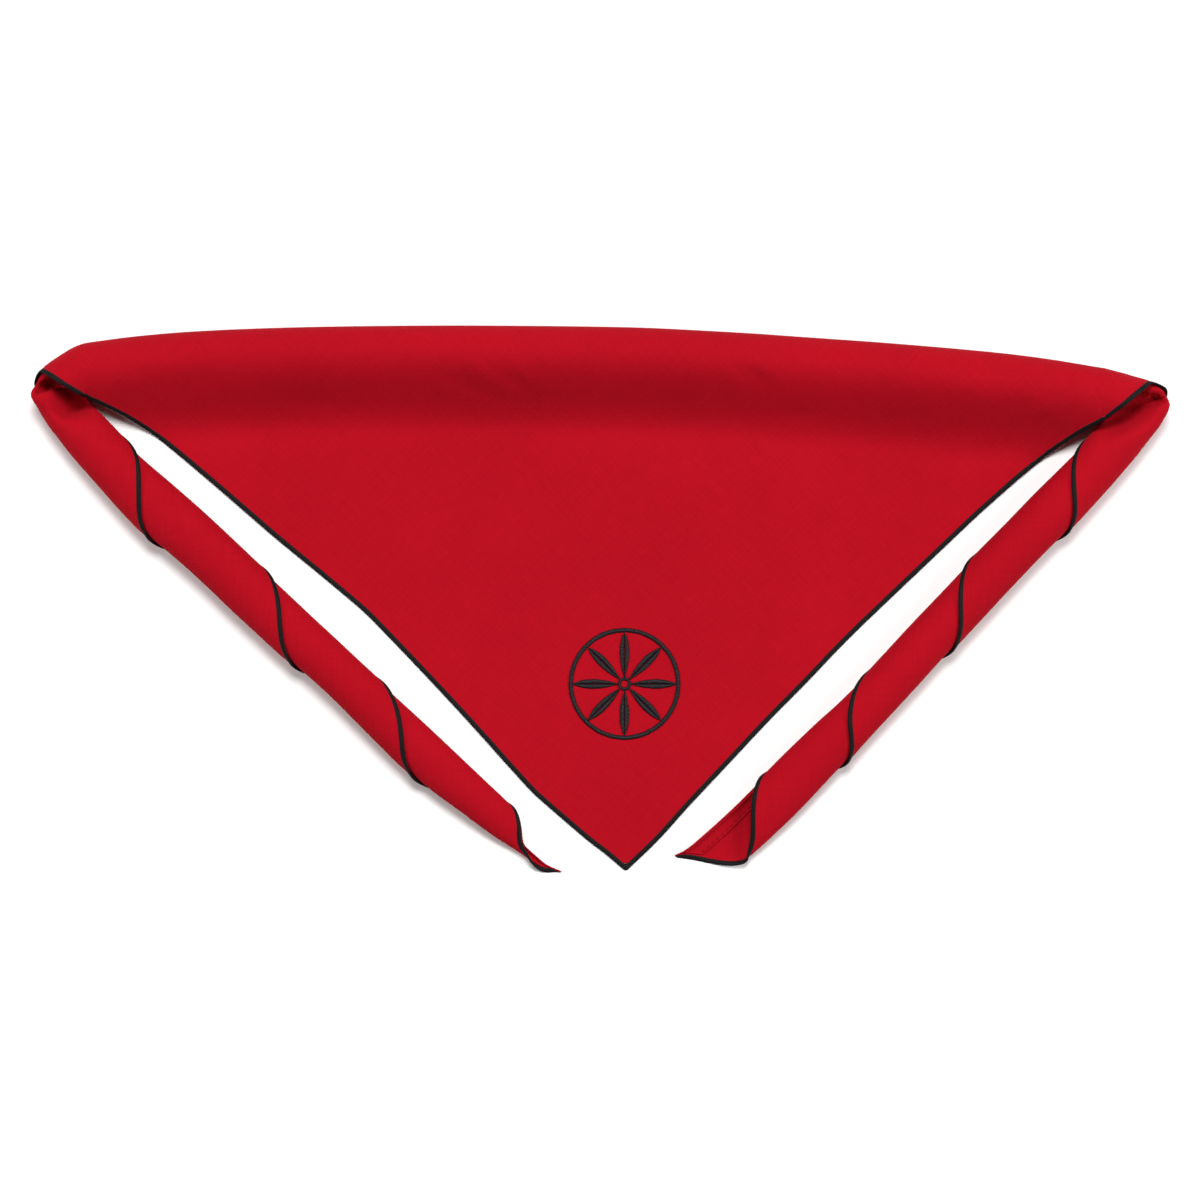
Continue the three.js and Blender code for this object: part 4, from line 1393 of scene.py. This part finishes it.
@dataclass(frozen=True)
class Hem:
    """The long edge, turned over on the wrong side and stitched, where the right tail's tip shows it."""

    width: float = 6.4
    thickness: float = 0.7
    clearance: float = 0.08
    stitch_length: float = 2.2
    stitch_gap: float = 0.7
    stitch_inset: float = 1.1
    shown_length: float = 180.0
    tip_inset: float = 4.0
    edge_inset: float = 1.6  # from the slanting edge to the hem's end
    column_step: float = 1.5
    rows: int = 9
    first_turns: float = 0.5  # the hem lies within these turns from the long edge
    turn_steps: int = 41
    corrections: int = 4
    seam_start: float = 1.0  # from the hem's end to the first stitch
    seam_end: float = 4.0
    needle: Needle = Needle(width=0.42, thickness=0.3, rise=0.1, bury=0.15)

    def build(self, cloth: Cloth, fabric: bpy.types.Material) -> list[bpy.types.Object]:
        """Makes the turned hem and its line of stitches.

        Args:
            cloth: The cloth that it is turned on.
            fabric: The cloth's material.

        Returns:
            The pieces.
        """
        tail = cloth.tails[Corner.RIGHT]
        depth = SIZES.thickness + self.clearance
        top, under, flat, rows = [], [], [], []
        for across in np.linspace(0, self.width, self.rows):
            places = self._places(tail, across)
            turns = self._turns(tail, places, across)
            top.append(RELIEF.lift(tail.point(places, turns, depth)))
            under.append(RELIEF.lift(tail.point(places, turns, depth + self.thickness)))
            rows.append(np.arange(len(places)) * self.column_step)
            flat.append(np.column_stack([rows[-1], np.full(len(places), across)]) / MILLIMETRES)
        fold = MeshData(np.vstack(top + under), closed_faces(rows), np.vstack(flat + flat))
        piece = fold.object_named("long_edge_hem_fold")
        dress(piece, fabric, "cloth", "long_edge_hem")
        return [piece, self._stitches(tail, depth + self.thickness)]

    def _places(self, tail: Tail, distance: float) -> np.ndarray:
        """Gives places along the hem, from its slanting end on.

        Args:
            tail: The tail.
            distance: Distance from the long edge.

        Returns:
            The places.
        """
        start = self.tip_inset
        for _ in range(self.corrections):
            turns = self._turns(tail, np.array([start]), distance)
            start = max(float(tail.edge_place(turns)[0]) + self.edge_inset, self.tip_inset)
        return np.linspace(start, self.shown_length, round(self.shown_length / self.column_step))

    def _turns(self, tail: Tail, places: np.ndarray, distance: float) -> np.ndarray:
        """Gives the turns at which the cloth is a given distance from its long edge.

        Args:
            tail: The tail.
            places: Places along it.
            distance: The distance.

        Returns:
            The turns at each place.
        """
        steps = np.linspace(0, self.first_turns, self.turn_steps)
        lines = np.array([tail.point(places, np.full(len(places), step), SIZES.thickness) for step in steps])
        spans = np.linalg.norm(np.diff(lines, axis=0), axis=-1)
        length = np.vstack([np.zeros(len(places)), np.cumsum(spans, axis=0)])
        return np.array([np.interp(distance, column, steps) for column in length.T])

    def _stitches(self, tail: Tail, depth: float) -> bpy.types.Object:
        """Makes the line of stitches near the hem's fold.

        Args:
            tail: The tail.
            depth: How far below the cloth's outer face the hem's surface lies.

        Returns:
            The piece.
        """
        line = self.width - self.stitch_inset
        start, end = self._places(tail, line)[[0, -1]]
        starts = np.arange(start + self.seam_start, end - self.seam_end, self.stitch_length + self.stitch_gap)
        ends = starts + self.stitch_length
        start_turns = self._turns(tail, starts, line)
        first = RELIEF.lift(tail.point(starts, start_turns, depth))
        last = RELIEF.lift(tail.point(ends, self._turns(tail, ends, line), depth))
        deeper = RELIEF.lift(tail.point(starts, start_turns, depth + self.thickness))
        piece = self.needle.stitches(first, last, unit(deeper - first)).object_named("hem_stitches")
        return dress(piece, HEM_THREAD.material(), "cloth")


# Studio
@dataclass(frozen=True)
class Softbox:
    """A soft studio light, aimed at a point on the table."""

    name: str
    place: tuple[float, float, float]
    aim: tuple[float, float, float]
    size: float
    watts: float
    colour: str = "#FFFFFF"

    def build(self) -> None:
        """Makes the light, which the camera doesn't see."""
        lamp = bpy.data.lights.new(self.name, "AREA")
        lamp.shape = "SQUARE"
        lamp.size = self.size
        lamp.energy = self.watts
        lamp.color = linear_colour(self.colour)[:3]
        holder = bpy.data.objects.new(self.name, lamp)
        way = Vector(self.place) - Vector(self.aim)
        turn = way.to_track_quat("Z", "Y").to_matrix().to_4x4()
        holder.matrix_world = Matrix.Translation(self.place) @ turn
        holder.visible_camera = False
        bpy.context.scene.collection.objects.link(holder)


@dataclass(frozen=True)
class Studio:
    """A pale table, soft light, and a camera that looks straight down as the photograph does."""

    frame_width: float = 0.552
    lens: float = 200.0
    sensor: float = 36.0
    middle_height: float = 0.011  # height at which the frame is as wide as it says
    floor_size: float = 8.0
    floor_colour: str = "#FDFDFC"
    floor_roughness: float = 0.9
    sky: float = 0.03  # how much it lights the cloth, while the camera sees it white
    lights: tuple[Softbox, ...] = (
        Softbox("main", (0.0, 2.6, 4.5), (0.0, 0.0, 0.0), 2.0, 236.0),
        Softbox("right_side", (1.6, 0.0, 1.2), (0.0, 0.0, 0.0), 0.8, 26.0),
        Softbox("left_side", (-1.6, 0.0, 1.2), (0.0, 0.0, 0.0), 0.8, 18.5),
    )

    def build(self) -> None:
        """Makes the table, the lights, the sky and the camera."""
        self._floor()
        for light in self.lights:
            light.build()
        world = bpy.data.worlds.new("studio")
        world.use_nodes = True
        background = world.node_tree.nodes["Background"]
        background.inputs["Color"].default_value = linear_colour("#FFFFFF")
        seen = add_node(world.node_tree, "ShaderNodeLightPath").outputs["Is Camera Ray"]
        levels = {"Value": seen, "To Min": self.sky, "To Max": 1.0}
        strength = add_node(world.node_tree, "ShaderNodeMapRange", levels)
        world.node_tree.links.new(strength.outputs[0], background.inputs["Strength"])
        bpy.context.scene.world = world
        bpy.context.scene.view_settings.view_transform = "Standard"
        camera = bpy.data.cameras.new("camera")
        camera.lens = self.lens
        camera.sensor_width = self.sensor
        holder = bpy.data.objects.new("camera", camera)
        height = self.middle_height + self.frame_width * self.lens / self.sensor
        holder.location = (0.0, 0.0, height)
        bpy.context.scene.collection.objects.link(holder)
        bpy.context.scene.camera = holder

    def _floor(self) -> None:
        """Makes the table top."""
        half = self.floor_size / 2
        mesh = bpy.data.meshes.new("table_top")
        corners = [(-half, -half, 0), (half, -half, 0), (half, half, 0), (-half, half, 0)]
        mesh.from_pydata(corners, [], [(0, 1, 2, 3)])
        floor = bpy.data.objects.new("table_top", mesh)
        bpy.context.scene.collection.objects.link(floor)
        material, _, shader = new_material("table_top")
        shader.inputs["Base Color"].default_value = linear_colour(self.floor_colour)
        shader.inputs["Roughness"].default_value = self.floor_roughness
        mesh.materials.append(material)


def main() -> None:
    """Builds the neckerchief and the studio."""
    logging.basicConfig(level=logging.INFO, format="%(name)s: %(message)s")
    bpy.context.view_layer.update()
    Studio().build()
    fabric = PlainWeaveCotton().material()
    cloth = Cloth()
    sheet = cloth.build(fabric)
    trim = [Overlock(corner).build(cloth) for corner in Corner]
    trim += Hem().build(cloth, fabric)
    trim.append(Rosette().build())
    for piece in (sheet, *trim):
        LOG.info("%s: %d faces", piece.name, len(piece.data.polygons))


if __name__ == "__main__":
    main()
